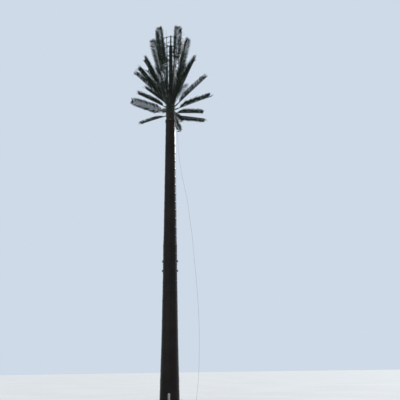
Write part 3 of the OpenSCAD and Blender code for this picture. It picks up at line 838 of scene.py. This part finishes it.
def bark_skin(name, low, high, node):
    clear_selection()
    bpy.ops.mesh.primitive_cylinder_add(vertices=BARK_SIDES, radius=trunk_radius(low),
                                        depth=high - low, end_fill_type="NOTHING",
                                        location=(0, 0, (low + high) / 2))
    skin = bpy.context.object
    half = (high - low) / 2
    pick(skin, lambda a, b: abs(a.z - b.z) > half, "EDGE")
    bpy.ops.mesh.subdivide_edgering(number_cuts=round((high - low) / ROW) - 1,
                                    interpolation="LINEAR", smoothness=0)
    done(skin, name)
    scars = max(1, round((high - low) / SCAR_PITCH))
    pitch = (high - low) / scars
    for spot in skin.data.vertices:
        x, y, z = spot.co
        around = atan2(y, x)
        reach = trunk_radius(z) + scar_lip(z, pitch, low, around) + relief(x, y, z)
        spot.co = (reach * cos(around), reach * sin(around), z)
    for end in (low, high):
        pick(skin, lambda co: abs(co.z - end) < 1e-4)
        bpy.ops.mesh.extrude_edges_move()
        inner = (trunk_radius(end) - SKIN) / trunk_radius(end)
        bpy.ops.transform.resize(value=(inner, inner, 1), center_override=(0, 0, end))
    inside = [trunk_radius(end) - SKIN / 2 for end in (low, high)]
    pick(skin, lambda co: (abs(co.z - low) < 1e-4 and co.xy.length < inside[0])
         or (abs(co.z - high) < 1e-4 and co.xy.length < inside[1]))
    bpy.ops.mesh.bridge_edge_loops()
    bpy.ops.mesh.select_all(action="SELECT")
    bpy.ops.mesh.normals_make_consistent(inside=False)
    bpy.ops.object.mode_set(mode="OBJECT")
    bpy.ops.object.shade_smooth_by_angle(angle=radians(50))
    skin.data.materials.append(bark)
    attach(skin, "root")
    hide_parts(node)
    print(name, len(skin.data.polygons), "faces")
    return skin


bark_skin("bark_skin_lower", 0.06, SLEEVE_LOW, "bark_lower")
bark_skin("bark_skin_joint", SLEEVE_LOW, SLEEVE_TOP, "bark_joint")
bark_skin("bark_skin_upper", SLEEVE_TOP, TRUNK_TOP, "bark_upper")

# %% [markdown]
# ## Fronds
# A frond is a stiff stem with a row of narrow leaflets on each side, raised so that
# they make a V. There are 42 fronds with some 110 leaflets each. A particle system or an
# array could strew them, but neither gives each leaflet its own twist. So one leaflet is
# modelled from a four sided bar, with few faces, and copied along a stem. A few
# such fronds are made, each a little different, and those are copied into their sockets.

# %% One leaflet
LEAF_L, LEAF_W, LEAF_T, FOLD = 0.43, 0.052, 0.004, 0.006
LEAF_ROWS = [(0.0, 0.34), (0.16, 0.86), (0.4, 1.0), (0.66, 0.84), (0.87, 0.5), (1.0, 0.1)]

clear_selection()
bpy.ops.mesh.primitive_cylinder_add(vertices=4, radius=0.5, depth=1, location=(0.5, 0, 0),
                                    rotation=(0, pi / 2, 0))
leaflet = bpy.context.object
done(leaflet, "leaflet")
pick(leaflet, lambda a, b: abs(a.x - b.x) > 0.5, "EDGE")
bpy.ops.mesh.subdivide_edgering(number_cuts=len(LEAF_ROWS) - 2, interpolation="LINEAR",
                                smoothness=0)
bpy.ops.object.mode_set(mode="OBJECT")
for spot in leaflet.data.vertices:
    row = round(spot.co.x * (len(LEAF_ROWS) - 1))
    along, width = LEAF_ROWS[row]
    side = 2 * spot.co.y
    spot.co = (along * LEAF_L, side * width * LEAF_W / 2,
               spot.co.z * LEAF_T + FOLD * width * abs(side) - 0.03 * along ** 2)
marks = leaflet.data.attributes.new("leaf", "FLOAT_VECTOR", "POINT")
for spot, mark in zip(leaflet.data.vertices, marks.data):
    mark.vector = (spot.co.x / LEAF_L, spot.co.y / LEAF_W + 0.5, 0)
print("leaflet", len(leaflet.data.polygons), "faces")

# %% [markdown]
# The stem is a tapered bar, straight where it sits in its socket, and it sags a little
# beyond. A bevelled curve would taper too, but its end in the socket would bend with it.
# So the stem starts as a cylinder of the socket's depth, and its front face is extruded
# and scaled row by row.

# %% One stem
GRIP, STEM_L, BARE = 0.17, 2.82, 0.40
STEM_R, TIP_R, STEM_ROWS = 0.028, 0.009, 9


def sag_at(x, sag):
    """How far the stem hangs at this distance from its foot."""
    return -sag * max(0, (x - GRIP) / (STEM_L - GRIP)) ** 2


def stem(sag):
    clear_selection()
    bpy.ops.mesh.primitive_cylinder_add(vertices=10, radius=STEM_R, depth=GRIP,
                                        location=(GRIP / 2, 0, 0), rotation=(0, pi / 2, 0))
    piece = bpy.context.object
    done(piece, "stem")
    reach, radius, height = GRIP, STEM_R, 0.0
    for row in range(STEM_ROWS):
        new_reach = GRIP + (STEM_L - GRIP) * (row + 1) / STEM_ROWS
        new_radius = STEM_R + (TIP_R - STEM_R) * (row + 1) / STEM_ROWS
        pick(piece, lambda co: co.x > reach - 1e-4, "FACE")
        new_height = sag_at(new_reach, sag)
        bpy.ops.mesh.extrude_region_move(TRANSFORM_OT_translate={
            "value": (new_reach - reach, 0, new_height - height)})
        share = new_radius / radius
        bpy.ops.transform.resize(value=(1, share, share),
                                 center_override=(new_reach, 0, new_height))
        reach, radius, height = new_reach, new_radius, new_height
    bpy.ops.object.mode_set(mode="OBJECT")
    marks = piece.data.attributes.new("leaf", "FLOAT_VECTOR", "POINT")
    for mark in marks.data:
        mark.vector = (0.0, 0.5, 0.3)
    return piece


print("a stem of", STEM_L, "m drops", round(-sag_at(STEM_L, 0.03), 3), "m at its tip")

# %% [markdown]
# A leaflet stands on its side of the stem. The raise of a row is the angle by which it
# stands up out of the frond's flat plane, and the twist turns the leaflet about its own
# length. It could be placed by eye, but as a chain of plain turns and moves it follows
# the stem's taper and sag.

# %% A leaflet in its place
def blade_at(x, side, angle, rise, twist, size, sag, tone):
    """A leaflet on one side of the stem. Angles are in degrees."""
    radius = STEM_R + (TIP_R - STEM_R) * (x - GRIP) / (STEM_L - GRIP)
    place = (Matrix.Translation((x, 0, sag_at(x, sag)))
             @ Matrix.Rotation(radians(side * rise), 4, "X")
             @ Matrix.Translation((0, side * radius * 0.6, 0))
             @ Matrix.Rotation(side * radians(angle), 4, "Z")
             @ Matrix.Rotation(radians(side * twist), 4, "X")
             @ Matrix.Diagonal((size, 1, 1, 1)))
    blade = twin(leaflet, "blade", place)
    for mark in blade.data.attributes["leaf"].data:
        mark.vector.z = tone
    return blade


trial = blade_at(1.0, 1, 48, 45, 10, 1.0, 0.03, 0.5)
print("a leaflet 1 m along reaches", [round(c, 2) for c in trial.data.vertices[-1].co])
drop_piece(trial)

# %% [markdown]
# The leaflets sit in pairs, as on a date palm, one a little above the other, and the
# last ones fan out round the stem's tip. Even rows would look like a comb, so each
# leaflet gets a slightly different place, angle and length from a seeded draw, which
# makes the same frond every time.

# %% One frond
PAIRS, PAIR_STEP = 26, 0.012
FAN = [(42, 0.78), (27, 0.68), (12, 0.60)]
LAST = STEM_L - 0.10
YOUNG, OLD = 0.12, 0.85


def frond(name, rise, seed):
    """A stem with its two rows of leaflets, raised by so many degrees."""
    chance = Random(seed)
    sag = chance.uniform(0.01, 0.05)
    pieces = [stem(sag)]
    for side in (-1, 1):
        for k in range(PAIRS):
            share = k / (PAIRS - 1)
            young = min(1, 0.62 + 0.38 * share / YOUNG)
            old = 1 - 0.18 * max(0, (share - OLD) / (1 - OLD))
            foot = BARE + (LAST - BARE) * share + chance.uniform(-0.012, 0.012)
            size = young * old * chance.uniform(0.9, 1.04)
            angle = 48 + chance.uniform(-3.5, 3.5)
            for lean in (-1, 1):
                pieces.append(blade_at(
                    foot + lean * PAIR_STEP, side, angle + 2 * lean,
                    rise + 7 * lean + chance.uniform(-4, 4), chance.uniform(0, 20),
                    size * chance.uniform(0.97, 1.03), sag, chance.random()))
        for angle, size in FAN:
            pieces.append(blade_at(STEM_L - 0.02, side, angle + chance.uniform(-4, 4),
                                   rise * chance.uniform(0, 1), 10, size, sag,
                                   chance.random()))
    whole = join(pieces, name)
    bpy.ops.object.shade_smooth_by_angle(angle=radians(40))
    return whole


print("a frond has", 2 * (2 * PAIRS + len(FAN)), "leaflets")

# %% [markdown]
# The tiers repeat what the solids have: the height of each tier, and each frond's
# azimuth, elevation, roll and raise, in degrees. The fronds could be copied evenly round
# the pole, but the real crown is uneven, and each one that shows has its own place.
# Fourteen of them raise or roll their leaflets otherwise than their solids do, because
# that is nearer the picture: those in front of the cage are raised so far that its rings
# show between them.

# %% The tiers
POLE_TIERS = [
    (0.282, [(44, 14.8, 0, -55), (82, 4.8, 0, 45), (133, 9.2, -20, 30), (262, 9, 0, 45)]),
    (0.366, [(47, 20.1, 0, 55), (79, 15, 0, 45), (158, 28, 75, 10), (288, 16, 0, 45)]),
    (0.449, [(20, 29.4, 0, 60), (104, 24, 0, 45), (245, 25, 0, 45), (286, 25, 0, 45)]),
    (0.532, [(95, 33, 0, 45), (150, 35.6, 0, 55), (226, 33, 0, 62), (262, 33, 0, 72),
             (300, 33, 0, 70), (356, 44.4, 0, 60)]),
    (0.653, [(92, 46, 0, 42), (140, 42.9, 0, 45), (187, 45, 0, 60), (228, 45, 0, 62),
             (280, 42, 0, 74), (312, 45, 0, 62)]),
    (0.815, [(65, 49.3, 0, -20), (104, 56, 0, -20), (150, 55, 0, -20), (186, 53.2, -35, -25)]),
]
CAGE_TIERS = [
    (1, [(8, 68, 0, 40), (50, 72, 0, 26), (85, 66, 0, 26), (128, 66, 0, 26),
         (175, 66.1, 0, 40)]),
    (2, [(48, 76, 0, -10), (152, 76, 0, -10), (201, 75.7, 40, 20), (336, 76, -15, 8)]),
    (3, [(22, 83.6, -20, 12), (136, 83, 0, 12), (186, 83, 20, 12), (222, 82.7, 25, -12),
         (306, 84.6, -20, -12)]),
]
print([len(seats) for _, seats in POLE_TIERS + CAGE_TIERS], "fronds in the tiers")

# %% [markdown]
# The lower tiers sit in collars on the pole, at a share of the way up its bare top, and
# the upper ones in sockets on the cage's rings. A frond could be parented to its socket,
# but a finished piece stays at the origin with its place in its mesh. So a seat is a
# matrix: out to the socket, up by the elevation, and round by the roll.

# %% Seats for the fronds
POLE_TOP, MAST_L, RING_FOOT, RING_HEAD = 19.45, 3.62, 0.17, 0.37
CAP_TOP = POLE_TOP + 0.02
RING_PITCH = (MAST_L + RING_HEAD - RING_FOOT) / 5
SEAT = 0.0003
POLE_ROOT, CAGE_ROOT = 0.06, -0.02
CAGE_SOCKET_R = 0.625


def pole_radius(z):
    """The outer radius of the upper steel section at this height."""
    return 0.44 - 0.009 * z + 0.011


def seated(seat, radius, z, root):
    azimuth, elevation, roll, _ = (radians(angle) for angle in seat)
    return (Matrix.Rotation(azimuth, 4, "Z") @ Matrix.Translation((radius, 0, z))
            @ Matrix.Rotation(-elevation, 4, "Y") @ Matrix.Translation((root + SEAT, 0, 0))
            @ Matrix.Rotation(roll, 4, "X"))


tiers, mouths = [], []
for tier, (level, seats) in enumerate(POLE_TIERS + CAGE_TIERS):
    if tier < len(POLE_TIERS):
        z = TRUNK_TOP + level * (POLE_TOP - TRUNK_TOP)
        spot = (pole_radius(z), z, POLE_ROOT)
    else:
        spot = (CAGE_SOCKET_R, CAP_TOP + RING_FOOT + (level - 1) * RING_PITCH, CAGE_ROOT)
    tiers.append([(seat[3], seated(seat, *spot)) for seat in seats])
    mouths += [seated((seat[0], seat[1], 0, 0), *spot) for seat in seats]
print(len(mouths), "sockets in", len(tiers), "tiers")

# %% [markdown]
# A frond form is made once for each raise, in two draws that take turns. Forty two
# different fronds would take longer and look no richer. The forms are copied into their
# sockets, and each tier is joined into one piece that replaces the tier's solids.

# %% Fronds in their sockets
made = {}
for number, places in enumerate(tiers, 1):
    copies = []
    for k, (rise, place) in enumerate(places):
        form = (rise, k % 2)
        if form not in made:
            made[form] = frond(f"frond_form_{rise}_{k % 2}", rise, seed=rise * 10 + k % 2)
        copies.append(twin(made[form], "copy", place))
    tier = join(copies, f"frond_tier_{number}")
    tier.data.materials.clear()
    tier.data.materials.append(leaf)
    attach(tier, "root")
    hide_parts(f"fronds_{number}")
    print(tier.name, len(places), "fronds,", len(tier.data.polygons), "faces")
for form in [leaflet, *made.values()]:
    drop_piece(form)

# %% [markdown]
# ## Bolts
# Nuts, washers, studs and housings all start as an upright prism or disc, whose top is
# then stepped in. A bevel modifier would round every edge alike, but a nut is chamfered
# only at its ends, so its top face is inset and raised instead.

# %% Prisms and their steps
def prism(name, sides, radius, low, high):
    """An upright prism or disc between two heights."""
    clear_selection()
    bpy.ops.mesh.primitive_cylinder_add(vertices=sides, radius=radius, depth=high - low,
                                        location=(0, 0, (low + high) / 2))
    return done(bpy.context.object, name)


def step_in(piece, low, wide, rise=0.0):
    """Inset the faces above this height, and raise them."""
    pick(piece, lambda co: co.z > low, "FACE")
    bpy.ops.mesh.inset(thickness=wide, depth=rise)
    bpy.ops.object.mode_set(mode="OBJECT")


trial = prism("trial", 6, 0.5, 0, 1)
print("a six sided prism has", len(trial.data.polygons), "faces")
drop_piece(trial)

# %% [markdown]
# Every bolt is the same kind: a chamfered hexagon head on a round washer. One is
# modelled with a head 1 m across, standing on its washer, and its copies are scaled to
# their real sizes. A bolt drawn for each place would only repeat it.

# %% One bolt
washer = prism("washer", 20, 0.65, 0, 0.10)
step_in(washer, 0.09, 0.03, 0.02)
head = prism("head", 6, 0.577, 0.12, 0.62)
step_in(head, 0.61, 0.09, 0.08)
bolt = join([washer, head], "bolt")
print(bolt.name, "has", len(bolt.data.polygons), "faces")

# %% [markdown]
# A bolt stands on the XY plane of the place that it is given. On an upright tube that
# plane faces outwards. Copies that share a finish are handed to the frame as one piece,
# because hundreds of separate bolts would help nobody.

# %% Bolts put in place
def bolt_at(place, across):
    """A bolt that stands on this place's XY plane, its head so many metres across."""
    return twin(bolt, "bolt_copy", place @ Matrix.Scale(across, 4))


def fitted(pieces, name, material, slot, *nodes):
    """Join a group of copies, give it its finish and hand it to the frame."""
    whole = join(pieces, name)
    bpy.ops.object.shade_smooth_by_angle(angle=radians(35))
    whole.data.materials.clear()
    whole.data.materials.append(material)
    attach(whole, "root")
    if nodes:
        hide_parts(*nodes)
    print(name, len(pieces), "pieces,", len(whole.data.polygons), "faces")
    return whole


def outward(azimuth, radius, z):
    """A place on an upright cylinder, whose Z axis points straight out."""
    return (Matrix.Rotation(radians(azimuth), 4, "Z") @ Matrix.Translation((radius, 0, z))
            @ Matrix.Rotation(pi / 2, 4, "Y"))


print("straight out at 90 degrees is", [round(c, 2) for c in outward(90, 1, 0).col[2].xyz])

# %% [markdown]
# The base flange is held by twelve threaded studs, each with a washer and a nut. A
# screw modifier would cut a true thread, with thousands of faces on a stud. Here the
# thread is a row of ridges, extruded and scaled one after the other from the stud's top
# face. It has no pitch, which does not show at its size.

# %% Anchor studs
FLANGE_T, STUD_R, NUT_TOP, THREAD = 0.05, 0.018, 0.087, 0.004
stud = prism("stud", 20, STUD_R, 0.0, NUT_TOP)
top, radius = NUT_TOP, STUD_R
for ridge in range(16):
    pick(stud, lambda co: co.z > top - 1e-4, "FACE")
    bpy.ops.mesh.extrude_region_move(TRANSFORM_OT_translate={"value": (0, 0, THREAD / 2)})
    top += THREAD / 2
    new_radius = STUD_R if ridge % 2 else STUD_R - 0.002
    share = new_radius / radius
    bpy.ops.transform.resize(value=(share, share, 1), center_override=(0, 0, top))
    radius = new_radius
bpy.ops.object.mode_set(mode="OBJECT")
step_in(stud, top - 1e-4, 0.003, 0.003)
flat = prism("stud_washer", 24, 0.036, FLANGE_T, FLANGE_T + 0.005)
step_in(flat, FLANGE_T + 0.0049, 0.001, 0.001)
nut = prism("stud_nut", 6, 0.0318, FLANGE_T + 0.006, NUT_TOP - 0.003)
step_in(nut, NUT_TOP - 0.0035, 0.005, 0.003)
anchor = join([stud, flat, nut], "anchor")
anchors = [twin(anchor, "anchor_copy", Matrix.Rotation(radians(15 + 30 * k), 4, "Z")
                @ Matrix.Translation((0.7, 0, 0))) for k in range(12)]
fitted(anchors, "anchor_studs", zinc, "galvanised_steel")
drop_piece(anchor)

# %% [markdown]
# Eight screws hold the hand hole's cover on its rim, three down each straight side and
# one at the middle of each round end. They could be spaced evenly along the edge, but
# then none would sit at the ends' middles, where the cover would first lift.

# %% Cover screws
COVER_Y, COVER_X, COVER_Z, COVER_REACH = -0.590, 0.056, 0.28, 0.15
screws = []
for x, z in [(side * COVER_X, part * COVER_REACH) for side in (-1, 1) for part in (-1, 0, 1)] + [
        (0, -COVER_REACH - COVER_X), (0, COVER_REACH + COVER_X)]:
    place = Matrix.Translation((x, COVER_Y, COVER_Z + z)) @ Matrix.Rotation(pi / 2, 4, "X")
    screws.append(bolt_at(place, 0.013))
fitted(screws, "cover_screws", zinc, "galvanised_steel")

# %% [markdown]
# Bolts clamp the band under the crown and the collars to the pole. An even ring of them
# would run into the collars' sockets, so there each is moved on until it is clear.

# %% Collar bolts
def clear_angles(taken, count, room):
    """Azimuths, as even as they can be, that keep clear of those taken."""
    found = []
    for k in range(count):
        angle = 15 + 360 * k / count
        while any(abs((angle - other + 180) % 360 - 180) < room for other in taken):
            angle += 3
        found.append(angle)
    return found


COLLAR_OUT, BAND_R, BAND_Z = 0.0215, 0.3455, 17.35
clamps = [bolt_at(outward(30 + 60 * k, BAND_R, BAND_Z), 0.024) for k in range(6)]
for share, seats in POLE_TIERS:
    z = TRUNK_TOP + share * (POLE_TOP - TRUNK_TOP)
    for azimuth in clear_angles([seat[0] for seat in seats], 4, 14):
        clamps.append(bolt_at(outward(azimuth, pole_radius(z) + COLLAR_OUT, z), 0.024))
fitted(clamps, "collar_bolts", zinc, "galvanised_steel")

# %% [markdown]
# Two rings of eight bolts hold the centre pipe's foot on the cap plate, and the cap
# plate on the pole. Three set screws hold the hub of each of the cage's rings on its
# pipe. Both are plain circles, so a loop places them.

# %% Plate bolts
FOOT_TOP = CAP_TOP + 0.016
plate_bolts = [bolt_at(Matrix.Rotation(radians(22.5 + 45 * k), 4, "Z")
                       @ Matrix.Translation((reach, 0, z)), across)
               for k in range(8) for reach, z, across in ((0.165, FOOT_TOP, 0.030),
                                                          (0.275, CAP_TOP, 0.024))]
for ring in range(6):
    z = CAP_TOP + RING_FOOT + ring * RING_PITCH
    hub = 0.1335 if ring < 5 else 0.0635
    plate_bolts += [bolt_at(outward(90 + 120 * k, hub, z), 0.018) for k in range(3)]
fitted(plate_bolts, "plate_bolts", zinc, "galvanised_steel")

# %% [markdown]
# A bolt goes through each socket and the stem in it, with its head on one side and its
# nut on the other. Its shank is hidden, so only the two ends are placed, from the same
# seats as the fronds.

# %% Socket bolts
THROUGH, SOCKET_R = 0.13, 0.0415
holders = []
for mouth in mouths:
    for side in (-1, 1):
        holders.append(bolt_at(mouth @ Matrix.Translation((THROUGH, side * SOCKET_R, 0))
                               @ Matrix.Rotation(-side * pi / 2, 4, "X"), 0.019))
fitted(holders, "socket_bolts", zinc, "galvanised_steel")

# %% [markdown]
# At each crossing of a ring and a post, a plate behind the post and two U bolts round
# the ring's tube hold them together. A U bolt could be a bevelled curve, but it is a
# straight leg whose end face is spun round and then extruded back as the other leg,
# which keeps its section true in the bend.

# %% One U bolt
RING_R, TUBE_R, POST_R, U_R = 0.57, 0.021, 0.017, 0.004
PLATE_X = RING_R - TUBE_R - 2 * POST_R - 0.001
LEG = RING_R - PLATE_X + 0.018
bend = TUBE_R + U_R + 0.0003
clear_selection()
bpy.ops.mesh.primitive_cylinder_add(vertices=8, radius=U_R, depth=LEG,
                                    location=(-LEG / 2, 0, bend), rotation=(0, pi / 2, 0))
u_bolt = done(bpy.context.object, "u_bolt")
pick(u_bolt, lambda co: co.x > -1e-4, "FACE")
bpy.ops.mesh.spin(steps=10, angle=pi, center=(0, 0, 0), axis=(0, 1, 0))
bpy.ops.mesh.extrude_region_move(TRANSFORM_OT_translate={"value": (-LEG, 0, 0)})
bpy.ops.object.mode_set(mode="OBJECT")
box = [[f(spot.co[i] for spot in u_bolt.data.vertices) for f in (min, max)] for i in range(3)]
print("U bolt", [[round(c, 4) for c in pair] for pair in box])

# %% [markdown]
# The clamp's plate is a flat square with rounded corners. Its four short edges are
# bevelled, which a modifier could do as well, but only after they are marked.

# %% One clamp plate
bpy.ops.object.select_all(action="DESELECT")
PLATE_T, PLATE_W, PLATE_CORNER = 0.006, 0.086, 0.012
bpy.ops.mesh.primitive_cube_add(size=1, location=(-PLATE_T / 2, 0, 0))
plate = bpy.context.object
plate.scale = (PLATE_T, PLATE_W, PLATE_W)
done(plate, "clamp_plate")
pick(plate, lambda a, b: abs(a.x - b.x) > PLATE_T - 0.001, "EDGE")
bpy.ops.mesh.bevel(offset=PLATE_CORNER, segments=3, affect="EDGES")
bpy.ops.object.mode_set(mode="OBJECT")
print(plate.name, "has", len(plate.data.polygons), "faces")

# %% [markdown]
# Six rings cross six posts, so there are 36 clamps. Each has a plate, two U bolts and
# four nuts. They could be placed by hand, but their places follow from the rings' pitch.

# %% Cage clamps
plates, ties = [], []
for ring in range(6):
    for post in range(6):
        middle = (Matrix.Rotation(radians(60 * post), 4, "Z")
                  @ Matrix.Translation((0, 0, CAP_TOP + RING_FOOT + ring * RING_PITCH)))
        plates.append(twin(plate, "plate_copy", middle @ Matrix.Translation((PLATE_X, 0, 0))))
        for side in (-1, 1):
            aside = side * (POST_R + 0.009)
            ties.append(twin(u_bolt, "u_copy", middle @ Matrix.Translation((RING_R, aside, 0))))
            for up in (-bend, bend):
                ties.append(bolt_at(middle @ Matrix.Translation((PLATE_X - PLATE_T, aside, up))
                                    @ Matrix.Rotation(-pi / 2, 4, "Y"), 0.011))
fitted(plates, "clamp_plates", crown_paint, "crown_steel")
fitted(ties, "clamp_bolts", zinc, "galvanised_steel")
for piece in (u_bolt, plate):
    drop_piece(piece)

# %% [markdown]
# ## Antennas
# A panel antenna's housing is a box with a rounded front. Its section could be drawn as
# a curve and extruded, but a box whose upright front edges are bevelled gives it in two
# steps, and the same function makes the caps at its ends, with softened rims.

# %% A housing with a rounded front
def block(name, size, middle, nose, soft=0.0):
    """A box with its upright front edges rounded by the nose, the rest softened."""
    bpy.ops.object.select_all(action="DESELECT")
    bpy.ops.mesh.primitive_cube_add(size=1, location=middle)
    piece = bpy.context.object
    piece.scale = size
    done(piece, name)
    pick(piece, lambda a, b: min(a.x, b.x) > 0 and abs(a.z - b.z) > size[2] / 2, "EDGE")
    bpy.ops.mesh.bevel(offset=nose, segments=7, affect="EDGES")
    if soft:
        ends = [middle[2] - size[2] / 2, middle[2] + size[2] / 2]
        pick(piece, lambda a, b: any(abs(a.z - z) + abs(b.z - z) < 1e-4 for z in ends), "EDGE")
        bpy.ops.mesh.bevel(offset=soft, segments=2, affect="EDGES")
    bpy.ops.object.mode_set(mode="OBJECT")
    return piece


trial = block("trial", (1, 1, 1), (0, 0, 0.5), 0.2, 0.05)
print("a housing has", len(trial.data.polygons), "faces")
drop_piece(trial)

# %% [markdown]
# Three panel antennas stand in the cage, a third of a turn apart, and look out through
# the fronds. Each has a radome, a cap at each end, and four connectors under it. They
# differ in nothing, so one is modelled and copied.

# %% Panel antennas
PANEL_H, PANEL_R, PANEL_Z, CAP_H = 1.4, 0.29982, 19.96, 0.03
shells = [block("radome", (0.104, 0.254, PANEL_H - 0.02), (0, 0, PANEL_H / 2), 0.045),
          block("foot_cap", (0.110, 0.260, CAP_H), (0, 0, CAP_H / 2), 0.047, 0.003),
          block("head_cap", (0.110, 0.260, CAP_H), (0, 0, PANEL_H - CAP_H / 2), 0.047, 0.003)]
for y in (-0.09, -0.03, 0.03, 0.09):
    plug = prism("connector", 16, 0.013, -0.04, -0.012)
    step_in(plug, -0.013, 0.004)
    step_in(plug, -0.013, 0.0001, 0.014)
    plug.data.transform(Matrix.Translation((0, y, 0)))
    shells.append(plug)
panel = join(shells, "panel")
copies = [twin(panel, "panel_copy", Matrix.Rotation(radians(90 + 120 * k), 4, "Z")
               @ Matrix.Translation((PANEL_R, 0, PANEL_Z))) for k in range(3)]
fitted(copies, "panel_radomes", radome, "radome", "panel_antennas")
drop_piece(panel)

# %% [markdown]
# The drum antenna is a shallow round housing with a rim, and a slightly domed radome
# stretched over its mouth. It could be spun from a profile. Here the front face of a
# drum is inset and raised again and again, which leaves no seam to close.

# %% Drum antenna
DRUM, DRUM_R, DRUM_T = (-0.29982, -0.2052, 21.86), 0.17, 0.12
drum = prism("drum_housing", 64, DRUM_R - 0.004, -DRUM_T / 2, 0.028)
for wide, rise in ((-0.004, 0.0), (0.0001, 0.014), (0.003, 0.003), (0.010, 0.0),
                   (0.0005, -0.003), (0.025, 0.006), (0.035, 0.005), (0.045, 0.003)):
    top = max(spot.co.z for spot in drum.data.vertices)
    if wide < 0:
        pick(drum, lambda co: co.z > top - 1e-4, "FACE")
        bpy.ops.mesh.extrude_region_move(TRANSFORM_OT_translate={"value": (0, 0, 0.003)})
        share = DRUM_R / (DRUM_R - 0.004)
        bpy.ops.transform.resize(value=(share, share, 1), center_override=(0, 0, top))
    else:
        pick(drum, lambda co: co.xy.length < 1e-3 and co.z > 0, "FACE")
        bpy.ops.mesh.inset(thickness=wide, depth=rise)
bpy.ops.object.mode_set(mode="OBJECT")
drum.data.transform(Matrix.Translation(DRUM) @ Matrix.Rotation(pi / 2, 4, "X"))
fitted([drum], "drum_radome", radome, "radome", "drum_antenna")
drop_piece(bolt)
